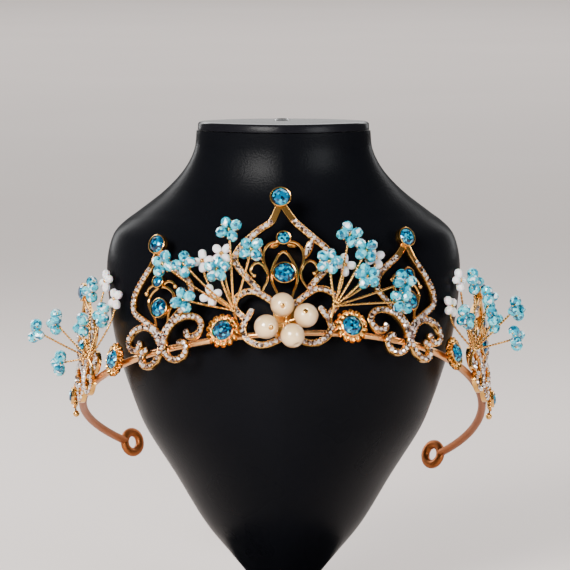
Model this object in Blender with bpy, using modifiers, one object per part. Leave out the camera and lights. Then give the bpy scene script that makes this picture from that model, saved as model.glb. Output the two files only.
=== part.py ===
"""Bridal crown on a neck bust. Metres, +Z up, the front faces -Y, the origin is under the base plate.

The crown's metalwork is drawn flat in millimetres, as its castings are before they are bent:
s runs along the band from its middle, v up from the band and w out from it. wrap() bends that
drawing round the head curve, then rolls, tilts and places it as the crown leans on the chest.
"""
import math

import bmesh
import bpy
import numpy as np
from mathutils import Matrix, Vector

MM = 0.001
GAP = 0.3
WELD = 1e-4
SHORTEST_EDGE = 0.01

# How the crown leans on the chest
CROWN_FRONT = (-0.4, -50.0, 101.3)
CROWN_TILT = math.radians(24.3)
CROWN_ROLL = math.radians(2.7)
CROWN_TWIST = math.radians(-0.036)

# The head curve that the band is bent to, from its middle to each end
FRONT_RADIUS = 62.3
FRONT_SWEEP = math.radians(59.7)
SIDE_RADIUS = 113.3
BAND_REACH = 178.0
BAND_FRONT_STEP = 7.1
BAND_ARM_POINTS = 8
BAND_RADIUS_FRONT = 1.05
BAND_RADIUS_ARM = 1.4
EYE_TURN = math.radians(26.0)
EYE_ACROSS = 3.3
EYE_UP = 3.7
EYE_RADIUS = 1.6
EYE_POINTS = 10

# Castings stand in front of the band
CAST_BACK = 1.35
CAST_FRONT = 2.95
BAR_WIDTH = 2.2
WIRE_W = 2.15
WIRE_RADIUS = 0.5
CASTING_SHIFT = 1.6
SIDE_CASTING = 42.4
FAR_CASTING = 92.5
FAR_SIZE = 0.9
CUP_WALL = 0.4
CUP_FLOOR = 2.6
CUP_RIM = 3.9
CUP_SIDES = 8
STONE_SIDES = 8

# Flower settings: name, distance from the crown's middle, v, radius of the rim, radius of the cup,
# and how much nearer to the band than the front ones, which stand before the middle casting
SETTINGS = (
    ("front", 19.7, 1.2, 5.6, 3.6, 0.0),
    ("side", 65.6, 1.2, 5.6, 3.6, 2.0),
    ("end", 113.5, 0.5, 4.2, 3.0, 2.0),
)
PETALS = 12
PETAL_DIP = 0.91
SETTING_PLATE = (3.4, 4.6)
SETTING_RIM = 5.9
SETTING_FLOOR = 4.7
POST_RADIUS = 1.6
POST_SIDES = 6
DROP_PETAL = ((-1.3, -2.0), (-1.1, -4.6), (0, -5.8), (1.1, -4.6), (1.3, -2.0))
DROP_PETAL_LEVELS = (3.5, 4.4)
DROP_BALL = ((0, 5.1), (1.2, 4.0), (0, 2.9))
DROP_BALL_V = -6.3
DROP_BALL_SIDES = 10

# A cut stone's girdle over its point, its table over the girdle and its table's width, by its radius
STONE_GIRDLE = 0.35
STONE_CROWN = 0.45
STONE_TABLE = 0.6

PEARL_RADIUS = 4.0
PEARL_SEGMENTS = (10, 6)
PEARL_WIRE = 0.45
BEAD_RADIUS = 2.0
BEAD_SIDES = 8
BEAD_GRIP = 0.35
BEAD_STAGGER = 0.4
BEAD_HALF = 1.5
BEAD_RING = 2.6
PETAL_RADIUS = 1.35
PETAL_SIDES = 6
PETAL_RING = 2.25
FLOWER_MIDDLE = 1.2
STEM_RADIUS = 0.5
SPRAY_WIRE = 0.4
SPRAY_BOW = 0.05
# The knot that binds the blossoms' wires: its rise over the stem's end, and its profile
BLOSSOM_KNOT_RISE = 0.9
BLOSSOM_KNOT = ((0, 0.5), (0.6, 0), (0, -0.4))

# Bust sections: height, half width, reach to the front and to the back of the middle plane
BUST_ROWS = (
    (5.3, 6.0, 6.5, 5.5),
    (30.8, 26.9, 27.5, 17.0),
    (46.8, 36.5, 37.5, 22.0),
    (64.0, 47.0, 45.0, 26.3),
    (84.0, 54.5, 48.7, 28.0),
    (101.3, 58.4, 48.0, 28.0),
    (121.0, 59.6, 37.4, 26.8),
    (131.0, 56.2, 29.5, 24.0),
    (137.0, 48.7, 25.0, 21.0),
    (143.8, 40.0, 21.0, 18.0),
    (150.7, 33.6, 18.5, 15.5),
    (156.0, 30.6, 17.5, 14.5),
    (163.9, 29.3, 17.0, 14.5),
)
CAP_ROWS = (
    (164.2, 28.7, 16.6, 14.2),
    (166.2, 28.5, 16.4, 14.0),
    (167.4, 26.6, 15.0, 12.8),
)
BUST_SIDES = 20
SECTION_POWERS = (1.6, 1.9)
BASE_RADIUS = 40.0
BASE_HEIGHT = 5.0
BASE_SEGMENTS = 24
PIN_RADIUS = 1.2
PIN_REACH = (-12.0, 0.95)
BORE_END = 3.0

# Centre casting, as (s, v) from its own middle; the left side's paths, mirrored where both agree
ARCH_LEFT = (
    (-0.4, 43.4), (-3.1, 37.9), (-6.4, 35.6), (-9.7, 33.1), (-12.9, 30.2), (-15.0, 27.2),
    (-15.2, 24.4), (-13.4, 21.3), (-11.0, 18.0), (-8.2, 14.2),
)
ARCH_RIGHT = (
    (0.4, 43.4), (3.9, 37.7), (6.6, 34.8), (10.3, 31.3), (13.3, 28.6), (15.1, 25.9),
    (14.8, 23.2), (12.7, 20.3), (10.2, 17.6), (7.4, 14.2),
)
UPPER_LOBE = (
    (-2.4, 8.4), (-4.6, 10.6), (-7.2, 12.7), (-9.7, 14.1), (-12.3, 14.2), (-14.9, 12.9),
    (-16.2, 10.9), (-15.8, 8.4), (-14.1, 6.3), (-12.6, 4.3),
)
SHORT_CURL = ((-13.0, 4.4), (-12.0, 5.8), (-10.6, 8.2))
LOWER_LOBE = (
    (-12.9, 4.8), (-13.8, 2.2), (-13.8, 0.1), (-12.4, -2.1), (-10.2, -3.7), (-8.0, -4.3),
    (-5.6, -4.0), (-1.6, -2.2),
)
FILIGREE = (
    (-0.8, 30.8), (-3.9, 30.3), (-5.8, 28.3), (-6.4, 25.8), (-6.1, 23.2), (-5.2, 20.6),
    (-5.5, 17.5), (-7.2, 14.4),
)
TEARDROP = (
    (0.5, 27.7), (-1.9, 25.0), (-3.5, 22.2), (-4.1, 19.4), (-3.8, 16.3), (-2.6, 13.2), (-1.6, 9.8),
)
SIDE_SCROLL = ((-5.4, 20.6), (-6.6, 22.9), (-8.2, 24.0), (-9.8, 23.2), (-10.7, 21.2), (-9.6, 19.6))
MARQUISE = ((-9.9, 32.4), (-6.5, 24.4), 1.25)
FLEUR = ((-1.0, 30.0), (-4.4, 29.0), 0.8)
# A leaf's wider places: share of its length from the tip, share of its half width
LEAF_EDGE = ((0.3, 0.9), (0.6, 1.0))
LEAF_INSET = 0.2
# The plate behind the pearls: s, v, half width, half height
BACK_PLATE = (0.0, 3.4, 4.3, 7.6)
BACK_PLATE_POINTS = 12

# Side casting, right half, mirrored about its middle
SIDE_ARCH = (
    (0.3, 33.4), (3.5, 28.7), (9.3, 23.0), (12.1, 18.4), (10.8, 14.0), (3.4, 7.7), (0.6, 4.4), (0.3, 2.0),
)
SIDE_UPPER = (
    (0.4, 0.8), (2.4, 5.2), (4.6, 7.5), (9.2, 9.1), (13.6, 7.7), (15.0, 5.4), (14.3, 3.1),
    (12.4, 1.8), (10.1, 2.0), (9.3, 4.4),
)
SIDE_LOWER = (
    (0.4, 0.9), (1.0, -1.6), (2.8, -4.0), (5.3, -5.1), (7.8, -4.5), (9.1, -2.3), (8.4, 0.1),
    (6.0, 0.7),
)
SIDE_TEAR = ((0.0, 21.4), (3.3, 19.8), (5.2, 17.2), (4.4, 13.9), (2.9, 11.2), (2.2, 7.2))
SIDE_ARM = ((0.4, 20.9), (2.8, 22.2), (5.0, 21.6), (5.9, 19.9))

# Stone cups of a casting: name, s, v, outer radius of the cup
CENTRE_CUPS = (
    ("top", 0.0, 45.9, 3.4),
    ("upper", 0.3, 31.7, 2.4),
    ("round", 0.0, 19.7, 3.7),
)
SIDE_CUPS = (
    ("top", 0.0, 35.7, 3.3),
    ("upper", 0.0, 22.8, 2.3),
    ("round", 0.0, 13.6, 3.4),
)

# Pearls: name, s, v, w
PEARLS = (
    ("top", 0.4, 7.0, 9.0),
    ("left", -4.4, -0.7, 11.0),
    ("right", 6.8, 2.8, 10.0),
    ("bottom", 2.6, -4.5, 12.0),
)
PEARL_KNOT = (1.4, 1.6)
KNOT_LEVEL = 7.6
KNOT_BALL = ((0, 8.6), (1.3, 7.8), (1.3, 6.6), (0, 5.8))
KNOT_POST_RADIUS = 1.1
KNOT_POST_TOP = 7.0

# Sprays: the stem's path, the bead flowers and the white blossoms
# A flower's columns: s, v, w, beads, first bead's angle in degrees
# A blossom's further columns: its wire's bow along s as a share of its reach, and its bow along w
SPRAYS = {
    "front_left": {
        "stem": ((-14.4, 0.4, 2.0), (-14.4, 4.9, 2.05), (-14.4, 7.6, 5.2)),
        "flowers": (
            (-14.2, 35.0, 7.0, 4, 20), (-7.9, 27.3, 7.0, 4, 35), (-18.1, 21.4, 8.0, 5, 10),
            (-28.9, 25.4, 7.0, 4, 0), (-36.2, 27.0, 7.0, 4, 60), (-29.4, 13.1, 7.5, 4, 15),
        ),
        "blossoms": (
            (-24.3, 26.6, 3.2, 4, 0, 0.3, -0.5), (-17.4, 27.6, 4.8, 4, 40, 0.3, -1.0),
            (-21.9, 14.2, 3.6, 4, 10, 0.0, -0.5),
        ),
    },
    "front_right": {
        "stem": ((15.0, 2.0, 3.85), (15.4, 4.6, 3.9), (16.2, 7.6, 5.2)),
        "flowers": (
            (21.6, 32.1, 7.0, 4, 10), (26.6, 27.0, 7.0, 4, 40), (14.7, 22.0, 8.0, 5, 0),
            (26.1, 17.7, 8.0, 5, 30), (39.2, 17.8, 7.0, 4, 15), (37.7, 10.6, 7.5, 4, 50),
        ),
        "blossoms": ((31.4, 26.2, 3.2, 4, 30, 0.3, 0.0), (20.6, 22.4, 3.9, 4, 0, 0.2, -0.5)),
    },
    "far_left": {
        "stem": ((-78.2, -1.0, 4.2), (-78.6, 2.4, 4.25), (-79.0, 5.5, 5.4)),
        "flowers": (
            (-76.4, 29.0, 5.4, 4, 0), (-70.4, 18.6, 4.0, 5, 30), (-82.4, 18.0, 6.5, 4, 15),
            (-88.4, 20.1, 14.0, 4, 0), (-88.4, 16.5, 21.0, 4, 45), (-88.4, 5.6, 12.5, 5, 20),
        ),
        "blossoms": ((-69.8, 30.4, 2.6, 4, 0, -0.2, -0.2), (-64.0, 22.6, 2.2, 4, 20, 0.3, -0.4)),
    },
    "far_right": {
        "stem": ((77.0, -1.0, 4.2), (77.6, 2.4, 4.25), (78.4, 5.5, 5.4)),
        "flowers": (
            (76.6, 28.8, 7.0, 4, 10), (80.6, 23.4, 10.5, 4, 30), (72.0, 15.0, 5.2, 5, 10),
            (81.6, 16.0, 11.5, 4, 25), (85.6, 20.9, 18.5, 5, 5), (87.6, 11.0, 17.5, 4, 40),
        ),
        "blossoms": ((70.6, 27.6, 4.2, 4, 15, -0.1, -0.8), (66.0, 17.2, 2.9, 4, 50, 0.3, -1.2)),
    },
}

# Finishes: colour, roughness, metallic
FINISHES = {
    "leatherette": ((0.012, 0.013, 0.016), 0.38, 0.0),
    "gold": ((0.86, 0.52, 0.24), 0.22, 1.0),
    "blue_stone": ((0.01, 0.22, 0.48), 0.05, 0.0),
    "pearl": ((0.90, 0.84, 0.75), 0.25, 0.0),
    "aqua_bead": ((0.20, 0.66, 0.78), 0.08, 0.0),
    "white_bead": ((0.92, 0.90, 0.91), 0.45, 0.0),
}


def head_curve(s):
    """Across, depth and heading of the head curve at arc length s: two arcs on each side."""
    reach = np.abs(s)
    front_turn = np.minimum(reach / FRONT_RADIUS, FRONT_SWEEP)
    side_turn = np.maximum(reach - FRONT_RADIUS * FRONT_SWEEP, 0.0) / SIDE_RADIUS
    turn = front_turn + side_turn
    across = FRONT_RADIUS * np.sin(front_turn) + SIDE_RADIUS * (np.sin(turn) - np.sin(front_turn))
    depth = FRONT_RADIUS * (1 - np.cos(front_turn)) + SIDE_RADIUS * (np.cos(front_turn) - np.cos(turn))
    side = np.where(s < 0, -1.0, 1.0)
    return side * across, depth, side * turn


def band_radius(s):
    return np.interp(np.abs(s), (30, 100), (BAND_RADIUS_FRONT, BAND_RADIUS_ARM))


def lean(across, depth, v):
    """A place in the crown's own plane, rolled, tilted and moved to the chest, in millimetres."""
    roll = CROWN_ROLL + CROWN_TWIST * depth
    x = across * np.cos(roll) - v * np.sin(roll)
    up = across * np.sin(roll) + v * np.cos(roll)
    y = depth * math.cos(CROWN_TILT) + up * math.sin(CROWN_TILT)
    z = up * math.cos(CROWN_TILT) - depth * math.sin(CROWN_TILT)
    return np.stack([x, y, z], axis=-1) + CROWN_FRONT


def wrap(points):
    """Flat drawing points (s, v, w) as places on the crown, in millimetres."""
    s, v, w = np.asarray(points, float).reshape(-1, 3).T
    across, depth, turn = head_curve(s)
    return lean(across + w * np.sin(turn), depth - w * np.cos(turn), v)


def crown_frame(s, v, w):
    """The place of a flat point and the directions along s, up v and out w there."""
    step = 0.5
    here, along, up = wrap(((s, v, w), (s + step, v, w), (s, v + step, w)))
    x_axis = Vector(along - here).normalized()
    y_axis = Vector(up - here)
    y_axis = (y_axis - x_axis * y_axis.dot(x_axis)).normalized()
    turn = Matrix((x_axis, y_axis, x_axis.cross(y_axis))).transposed()
    return Matrix.Translation(Vector(here)) @ turn.to_4x4()


def mirrored(path):
    return tuple((-s, v) for s, v in path)


def finish(name):
    colour, roughness, metallic = FINISHES[name]
    made = bpy.data.materials.get(name) or bpy.data.materials.new(name)
    made.use_nodes = True
    shader = made.node_tree.nodes["Principled BSDF"]
    shader.inputs["Base Color"].default_value = (*colour, 1.0)
    shader.inputs["Roughness"].default_value = roughness
    shader.inputs["Metallic"].default_value = metallic
    return made


def scene_object(name, data):
    made = bpy.data.objects.new(name, data)
    bpy.context.scene.collection.objects.link(made)
    return made


def taken(source):
    """The evaluated mesh of a working object, welded, with the object removed."""
    bpy.context.view_layer.update()
    graph = bpy.context.evaluated_depsgraph_get()
    mesh = bpy.data.meshes.new_from_object(source.evaluated_get(graph))
    mesh.transform(source.matrix_world)
    bpy.data.objects.remove(source)
    shape = bmesh.new()
    shape.from_mesh(mesh)
    bmesh.ops.remove_doubles(shape, verts=shape.verts, dist=WELD)
    bmesh.ops.recalc_face_normals(shape, faces=shape.faces)
    shape.to_mesh(mesh)
    shape.free()
    return mesh


def bar(path, width=BAR_WIDTH, back=CAST_BACK, front=CAST_FRONT):
    """A flat bar of rectangular section along a path of (s, v)."""
    shape = bmesh.new()
    corners = [shape.verts.new((s, v, back)) for s, v in path]
    edges = [shape.edges.new(pair) for pair in zip(corners, corners[1:])]
    raised = bmesh.ops.extrude_edge_only(shape, edges=edges)["geom"]
    lifted = [item for item in raised if isinstance(item, bmesh.types.BMVert)]
    bmesh.ops.translate(shape, verts=lifted, vec=(0, 0, front - back))
    mesh = bpy.data.meshes.new("bar")
    shape.to_mesh(mesh)
    shape.free()
    strip = scene_object("bar", mesh)
    thick = strip.modifiers.new("thick", "SOLIDIFY")
    thick.thickness = width
    thick.offset = 0.0
    thick.use_even_offset = True
    return taken(strip)


def wire(points, radii, sides_step=0, closed=False):
    """A round wire through places; sides_step 0, 1, 2 gives 4, 6, 8 sides."""
    data = bpy.data.curves.new("wire", "CURVE")
    data.dimensions = "3D"
    data.bevel_depth = 1.0
    data.bevel_resolution = sides_step
    data.use_fill_caps = True
    line = data.splines.new("POLY")
    line.points.add(len(points) - 1)
    radii = np.broadcast_to(radii, len(points))
    for point, place, radius in zip(line.points, points, radii):
        point.co = (*place, 1.0)
        point.radius = radius
    line.use_cyclic_u = closed
    return taken(scene_object("wire", data))


def filigree(path, radius=WIRE_RADIUS):
    return wire([(s, v, WIRE_W) for s, v in path], radius)


def plate(outline, back, front):
    """A flat plate with this outline between two levels."""
    data = bpy.data.curves.new("plate", "CURVE")
    data.dimensions = "2D"
    data.fill_mode = "BOTH"
    data.extrude = (front - back) / 2
    line = data.splines.new("POLY")
    line.points.add(len(outline) - 1)
    for point, (s, v) in zip(line.points, outline):
        point.co = (s, v, 0.0, 1.0)
    line.use_cyclic_u = True
    made = scene_object("plate", data)
    made.location.z = (front + back) / 2
    return taken(made)


def leaf(tip, root, half_width):
    """A pointed leaf between two places, on the casting's own level."""
    tip, root = np.array(tip), np.array(root)
    run = root - tip
    across = np.array((run[1], -run[0])) / np.hypot(*run) * half_width
    near = [tip + run * share + across * wide for share, wide in LEAF_EDGE]
    far = [tip + run * share - across * wide for share, wide in reversed(LEAF_EDGE)]
    return plate([tip, *near, root, *far], CAST_BACK + LEAF_INSET, CAST_FRONT - LEAF_INSET)


def turned(profile, sides, middle=(0.0, 0.0)):
    """A profile of (radius, level), top to bottom, turned about the w direction."""
    mesh = bpy.data.meshes.new("turned")
    edges = [(i, i + 1) for i in range(len(profile) - 1)]
    mesh.from_pydata([(radius, 0.0, level) for radius, level in profile], edges, [])
    made = scene_object("turned", mesh)
    made.location = (*middle, 0.0)
    screw = made.modifiers.new("turn", "SCREW")
    screw.steps = screw.render_steps = sides
    screw.use_merge_vertices = True
    screw.merge_threshold = 0.0001
    return taken(made)


def cup(middle, radius, back, floor, rim):
    inner = radius - CUP_WALL
    profile = ((0, floor), (inner, floor), (inner, rim), (radius, rim), (radius, back), (0, back))
    return turned(profile, CUP_SIDES, middle)


def tidied(mesh, flat=False):
    """A joined mesh without its shortest edges and, on a flat casting, without seams in its faces."""
    shape = bmesh.new()
    shape.from_mesh(mesh)
    if flat:
        bmesh.ops.dissolve_limit(shape, angle_limit=math.radians(1), verts=shape.verts, edges=shape.edges)
    bmesh.ops.triangulate(shape, faces=shape.faces)
    bmesh.ops.remove_doubles(shape, verts=shape.verts, dist=SHORTEST_EDGE)
    shape.to_mesh(mesh)
    shape.free()
    return mesh


def moved(mesh, matrix):
    mesh.transform(matrix)
    return mesh


def fused(meshes):
    """One closed mesh from pieces that overlap, joined one after another."""
    whole = meshes[0]
    for mesh in meshes[1:]:
        body = scene_object("body", whole)
        other = scene_object("other", mesh)
        join = body.modifiers.new("join", "BOOLEAN")
        join.operation = "UNION"
        join.solver = "MANIFOLD"
        join.object = other
        whole = taken(body)
        bpy.data.objects.remove(other)
    return whole


def part(name, mesh, look, sharp=35.0):
    """A finished sub-part: its mesh from millimetres to metres, smooth, with its finish."""
    mesh.transform(Matrix.Scale(MM, 4))
    mesh.name = name
    mesh.materials.clear()
    mesh.materials.append(finish(look))
    mesh.shade_smooth()
    mesh.set_sharp_from_angle(angle=math.radians(sharp))
    made = bpy.data.objects.new(name, mesh)
    crown.objects.link(made)
    return made


def stand_off(s):
    """How much further out a piece sits where the band is thicker than at the front."""
    return float(band_radius(s)) - BAND_RADIUS_FRONT


def bent(mesh, shift):
    """A flat casting bent round the head curve, its middle moved by shift along the band."""
    flat = np.array([tuple(vertex.co) for vertex in mesh.vertices])
    flat += (shift, 0.0, stand_off(shift))
    mesh.vertices.foreach_set("co", wrap(flat).ravel())
    mesh.update()
    return mesh


def loft(rows, sides):
    """Stacked rounded sections, each a power curve with its own width, front and back."""
    angle = np.arange(sides) / sides * 2 * math.pi
    power = 2 / np.where(np.sin(angle) < 0, *SECTION_POWERS)
    across = np.sign(np.cos(angle)) * np.abs(np.cos(angle)) ** power
    depth = np.sign(np.sin(angle)) * np.abs(np.sin(angle)) ** power
    shape = bmesh.new()
    rings = []
    for height, half_width, front, back in rows:
        reach = np.where(depth < 0, front, back)
        ring = zip(across * half_width, depth * reach)
        rings.append([shape.verts.new((x, y, height)) for x, y in ring])
    for lower, upper in zip(rings, rings[1:]):
        for i in range(sides):
            j = (i + 1) % sides
            shape.faces.new((lower[i], lower[j], upper[j], upper[i]))
    shape.faces.new(reversed(rings[0]))
    shape.faces.new(rings[-1])
    mesh = bpy.data.meshes.new("loft")
    shape.to_mesh(mesh)
    shape.free()
    return mesh


def rod(radius, levels, place):
    """A plain cylinder along w at a place on the crown."""
    start, end = levels
    round_rod = turned(((0, end), (radius, end), (radius, start), (0, start)), CUP_SIDES)
    return moved(round_rod, crown_frame(*place))


def build_stand():
    pin_place = (CASTING_SHIFT, -(BAND_RADIUS_FRONT + GAP + PIN_RADIUS), 0.0)
    bore = bpy.data.objects.new("pin_bore", rod(PIN_RADIUS + GAP, (PIN_REACH[0] - GAP, BORE_END), pin_place))
    bore.data.transform(Matrix.Scale(MM, 4))
    bore.hide_render = True
    bore.display_type = "WIRE"
    cutters.objects.link(bore)
    bust = part("neck_bust", loft(BUST_ROWS, BUST_SIDES), "leatherette")
    cut = bust.modifiers.new("pin_bore", "BOOLEAN")
    cut.object = bore
    part("neck_cap", loft(CAP_ROWS, BUST_SIDES), "leatherette")
    part("band_pin", rod(PIN_RADIUS, PIN_REACH, pin_place), "gold")
    shape = bmesh.new()
    bmesh.ops.create_cone(
        shape,
        cap_ends=True,
        segments=BASE_SEGMENTS,
        radius1=BASE_RADIUS,
        radius2=BASE_RADIUS,
        depth=BASE_HEIGHT,
    )
    mesh = bpy.data.meshes.new("base")
    shape.to_mesh(mesh)
    shape.free()
    moved(mesh, Matrix.Translation((0, 0, BASE_HEIGHT / 2)))
    part("base_plate", mesh, "leatherette")


def build_band():
    """The bent band, and at each end a flattened eye that turns towards the front."""
    front_reach = FRONT_RADIUS * FRONT_SWEEP
    front = np.arange(0, front_reach, BAND_FRONT_STEP)
    side = np.concatenate([front, np.linspace(front_reach, BAND_REACH, BAND_ARM_POINTS)])
    s = np.concatenate([-side[:0:-1], side])
    meshes = [wire(wrap(np.stack([s, 0 * s, 0 * s], axis=1)), band_radius(s), 1)]
    for end in (-1, 1):
        across, depth, turn = head_curve(np.array(end * BAND_REACH))
        heading = turn + end * EYE_TURN
        outward = np.array((end * np.cos(heading), end * np.sin(heading)))
        angle = np.arange(EYE_POINTS) / EYE_POINTS * 2 * math.pi
        along = EYE_ACROSS * (1 + np.cos(angle))
        ring = lean(across + outward[0] * along, depth + outward[1] * along, EYE_UP * np.sin(angle))
        meshes.append(wire(ring, EYE_RADIUS, 1, closed=True))
    part("head_band", tidied(fused(meshes)), "gold")


def centre_casting():
    pieces = [bar(ARCH_LEFT), bar(ARCH_RIGHT)]
    for path in (UPPER_LOBE, SHORT_CURL, LOWER_LOBE):
        pieces += [bar(path), bar(mirrored(path))]
    for path in (FILIGREE, TEARDROP, SIDE_SCROLL):
        pieces += [filigree(path), filigree(mirrored(path))]
    for tip, root, half_width in (MARQUISE, FLEUR):
        pieces.append(leaf(tip, root, half_width))
        pieces.append(leaf(*mirrored((tip, root)), half_width))
    s, v, half_width, half_height = BACK_PLATE
    angles = np.arange(BACK_PLATE_POINTS) / BACK_PLATE_POINTS * 2 * math.pi
    outline = [(s + half_width * math.cos(a), v + half_height * math.sin(a)) for a in angles]
    pieces.append(plate(outline, CAST_BACK, CAST_FRONT))
    for _, s, v, radius in CENTRE_CUPS:
        pieces.append(cup((s, v), radius, CAST_BACK, CUP_FLOOR, CUP_RIM))
    return tidied(fused(pieces), flat=True)


def resized(path, size):
    return [(s * size, v * size) for s, v in path]


def resized_cups(cups, size):
    return [(name, s * size, v * size, radius) for name, s, v, radius in cups]


def side_casting(size):
    """The pattern of the side castings; bars, wires and cups keep their thickness at every size."""
    pieces = []
    for path in (SIDE_ARCH, SIDE_UPPER, SIDE_LOWER):
        half = resized(path, size)
        pieces += [bar(half), bar(mirrored(half))]
    for path in (SIDE_TEAR, SIDE_ARM):
        half = resized(path, size)
        pieces += [filigree(half), filigree(mirrored(half))]
    for _, s, v, radius in resized_cups(SIDE_CUPS, size):
        pieces.append(cup((s, v), radius, CAST_BACK, CUP_FLOOR, CUP_RIM))
    return tidied(fused(pieces), flat=True)


def stone(name, radius, floor, place):
    """A cut stone: table, eight crown facets, girdle and eight pavilion facets."""
    girdle = floor + radius * STONE_GIRDLE
    top = girdle + radius * STONE_CROWN
    profile = ((0, top), (radius * STONE_TABLE, top), (radius, girdle), (0, floor))
    part(name, moved(turned(profile, STONE_SIDES), crown_frame(*place)), "blue_stone", 10.0)


def build_castings():
    part("centre_frame", bent(centre_casting(), CASTING_SHIFT), "gold")
    castings = [("centre", 0.0, CENTRE_CUPS)]
    for name, reach, size in (("side", SIDE_CASTING, 1.0), ("far", FAR_CASTING, FAR_SIZE)):
        flat = side_casting(size)
        cups = resized_cups(SIDE_CUPS, size)
        for hand, sign in (("left", -1), ("right", 1)):
            part(f"{name}_frame_{hand}", bent(flat.copy(), sign * reach + CASTING_SHIFT), "gold")
            castings.append((f"{name}_{hand}", sign * reach, cups))
    for name, middle, cups in castings:
        for which, s, v, radius in cups:
            place = (s + middle + CASTING_SHIFT, v, stand_off(middle + CASTING_SHIFT))
            stone(f"stone_{name}_{which}", radius - CUP_WALL - GAP, CUP_FLOOR + GAP, place)


def setting(rim_radius, cup_radius, sink):
    """A scalloped rim, a cup for its stone and a short post to the band."""
    angles = np.arange(2 * PETALS) / (2 * PETALS) * 2 * math.pi
    reach = np.where(np.arange(2 * PETALS) % 2, rim_radius * PETAL_DIP, rim_radius)
    outline = list(zip(reach * np.cos(angles), reach * np.sin(angles)))
    back, front = (level - sink for level in SETTING_PLATE)
    top = (back + front) / 2
    post = ((0, top), (POST_RADIUS, top), (POST_RADIUS, CAST_BACK), (0, CAST_BACK))
    pieces = [plate(outline, back, front)]
    pieces.append(cup((0, 0), cup_radius, back + GAP, SETTING_FLOOR - sink, SETTING_RIM - sink))
    pieces.append(turned(post, POST_SIDES))
    return tidied(fused(pieces), flat=True)


def leaf_and_ball(sink):
    """The petal and ball that hang under an end setting."""
    petal = plate(DROP_PETAL, *(level - sink for level in DROP_PETAL_LEVELS))
    profile = [(radius, level - sink) for radius, level in DROP_BALL]
    return fused([petal, turned(profile, DROP_BALL_SIDES, (0, DROP_BALL_V))])


def build_settings():
    for name, reach, v, rim_radius, cup_radius, sink in SETTINGS:
        shape = setting(rim_radius, cup_radius, sink)
        if name == "end":
            shape = tidied(fused([shape, leaf_and_ball(sink)]), flat=True)
        for hand, sign in (("left", -1), ("right", 1)):
            middle = sign * reach + CASTING_SHIFT
            place = (middle, v, stand_off(middle))
            part(f"flower_setting_{name}_{hand}", moved(shape.copy(), crown_frame(*place)), "gold")
            floor = SETTING_FLOOR - sink + GAP
            stone(f"stone_{name}_setting_{hand}", cup_radius - CUP_WALL - GAP, floor, place)


def build_pearls():
    knot = (*PEARL_KNOT, 0.0)
    base = CAST_FRONT + GAP
    hub = wrap(((*PEARL_KNOT, KNOT_LEVEL),))[0]
    pieces = [rod(KNOT_POST_RADIUS, (base, KNOT_POST_TOP), knot)]
    pieces.append(moved(turned(KNOT_BALL, CUP_SIDES), crown_frame(*knot)))
    for name, s, v, w in PEARLS:
        middle = wrap(((s, v, w),))[0]
        shape = bmesh.new()
        around, up = PEARL_SEGMENTS
        bmesh.ops.create_uvsphere(shape, u_segments=around, v_segments=up, radius=PEARL_RADIUS)
        mesh = bpy.data.meshes.new("pearl")
        shape.to_mesh(mesh)
        shape.free()
        part(f"pearl_{name}", moved(mesh, crown_frame(s, v, w)), "pearl", 60.0)
        run = hub - middle
        near = middle + run / np.linalg.norm(run) * (PEARL_RADIUS + GAP)
        pieces.append(wire([hub, near], PEARL_WIRE))
    part("pearl_wires", tidied(fused(pieces)), "gold")


def bowed(start, end, share_s, rise=0.0):
    """Places along a slightly bowed wire between two flat points."""
    share = np.linspace(0, 1, 3)[:, None]
    points = np.array(start) * (1 - share) + np.array(end) * share
    bow = np.sin(share * math.pi)
    points[:, 0:1] += bow * share_s * (end[0] - start[0])
    points[:, 2:3] += bow * rise
    return wrap(points)


def flower(s, v, w, count, first, bead, ring, upright):
    """Beads round a small middle ball; a bead's hole runs along the ring, or out if upright."""
    here = crown_frame(s, v, w) @ Matrix.Rotation(math.radians(first), 4, "Z")
    share = 2 * math.pi / count
    reach = (ring - max(vertex.co.x for vertex in bead.vertices) + BEAD_GRIP) / math.cos(share / 2)
    ball = turned(((0, FLOWER_MIDDLE), (reach, 0), (0, -FLOWER_MIDDLE)), count)
    pieces = [moved(ball, here @ Matrix.Rotation(share / 2, 4, "Z"))]
    for k in range(count):
        spin = Matrix.Rotation(share * k, 4, "Z")
        stagger = 0.0 if upright else BEAD_STAGGER * (-1) ** k
        rise = Matrix.Translation((ring, 0, stagger))
        tip = Matrix.Identity(4) if upright else Matrix.Rotation(math.pi / 2, 4, "X")
        pieces.append(moved(bead.copy(), here @ spin @ rise @ tip))
    return pieces


def build_sprays():
    bead = turned(((0, BEAD_HALF), (BEAD_RADIUS, 0), (0, -BEAD_HALF)), BEAD_SIDES)
    petal = turned(((0, PETAL_RADIUS), (PETAL_RADIUS, 0), (0, -PETAL_RADIUS)), PETAL_SIDES)
    for name, spray in SPRAYS.items():
        stem = spray["stem"]
        hub = stem[-1]
        pieces = [wire(wrap(stem), STEM_RADIUS, 1)]
        for s, v, w, count, first in spray["flowers"]:
            pieces.append(wire(bowed(hub, (s, v, w), SPRAY_BOW), SPRAY_WIRE))
            pieces += flower(s, v, w, count, first, bead, BEAD_RING, False)
        part(f"spray_{name}", fused(pieces), "aqua_bead", 20.0)
        knot = (hub[0], hub[1] + BLOSSOM_KNOT_RISE, hub[2] - STEM_RADIUS - GAP - SPRAY_WIRE)
        pieces = [moved(turned(BLOSSOM_KNOT, CUP_SIDES), crown_frame(*knot))]
        for s, v, w, count, first, share_s, rise in spray["blossoms"]:
            pieces.append(wire(bowed(knot, (s, v, w), share_s, rise), SPRAY_WIRE))
            pieces += flower(s, v, w, count, first, petal, PETAL_RING, True)
        part(f"blossoms_{name}", fused(pieces), "white_bead", 20.0)


def clear():
    for item in list(bpy.data.objects):
        bpy.data.objects.remove(item)


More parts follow.
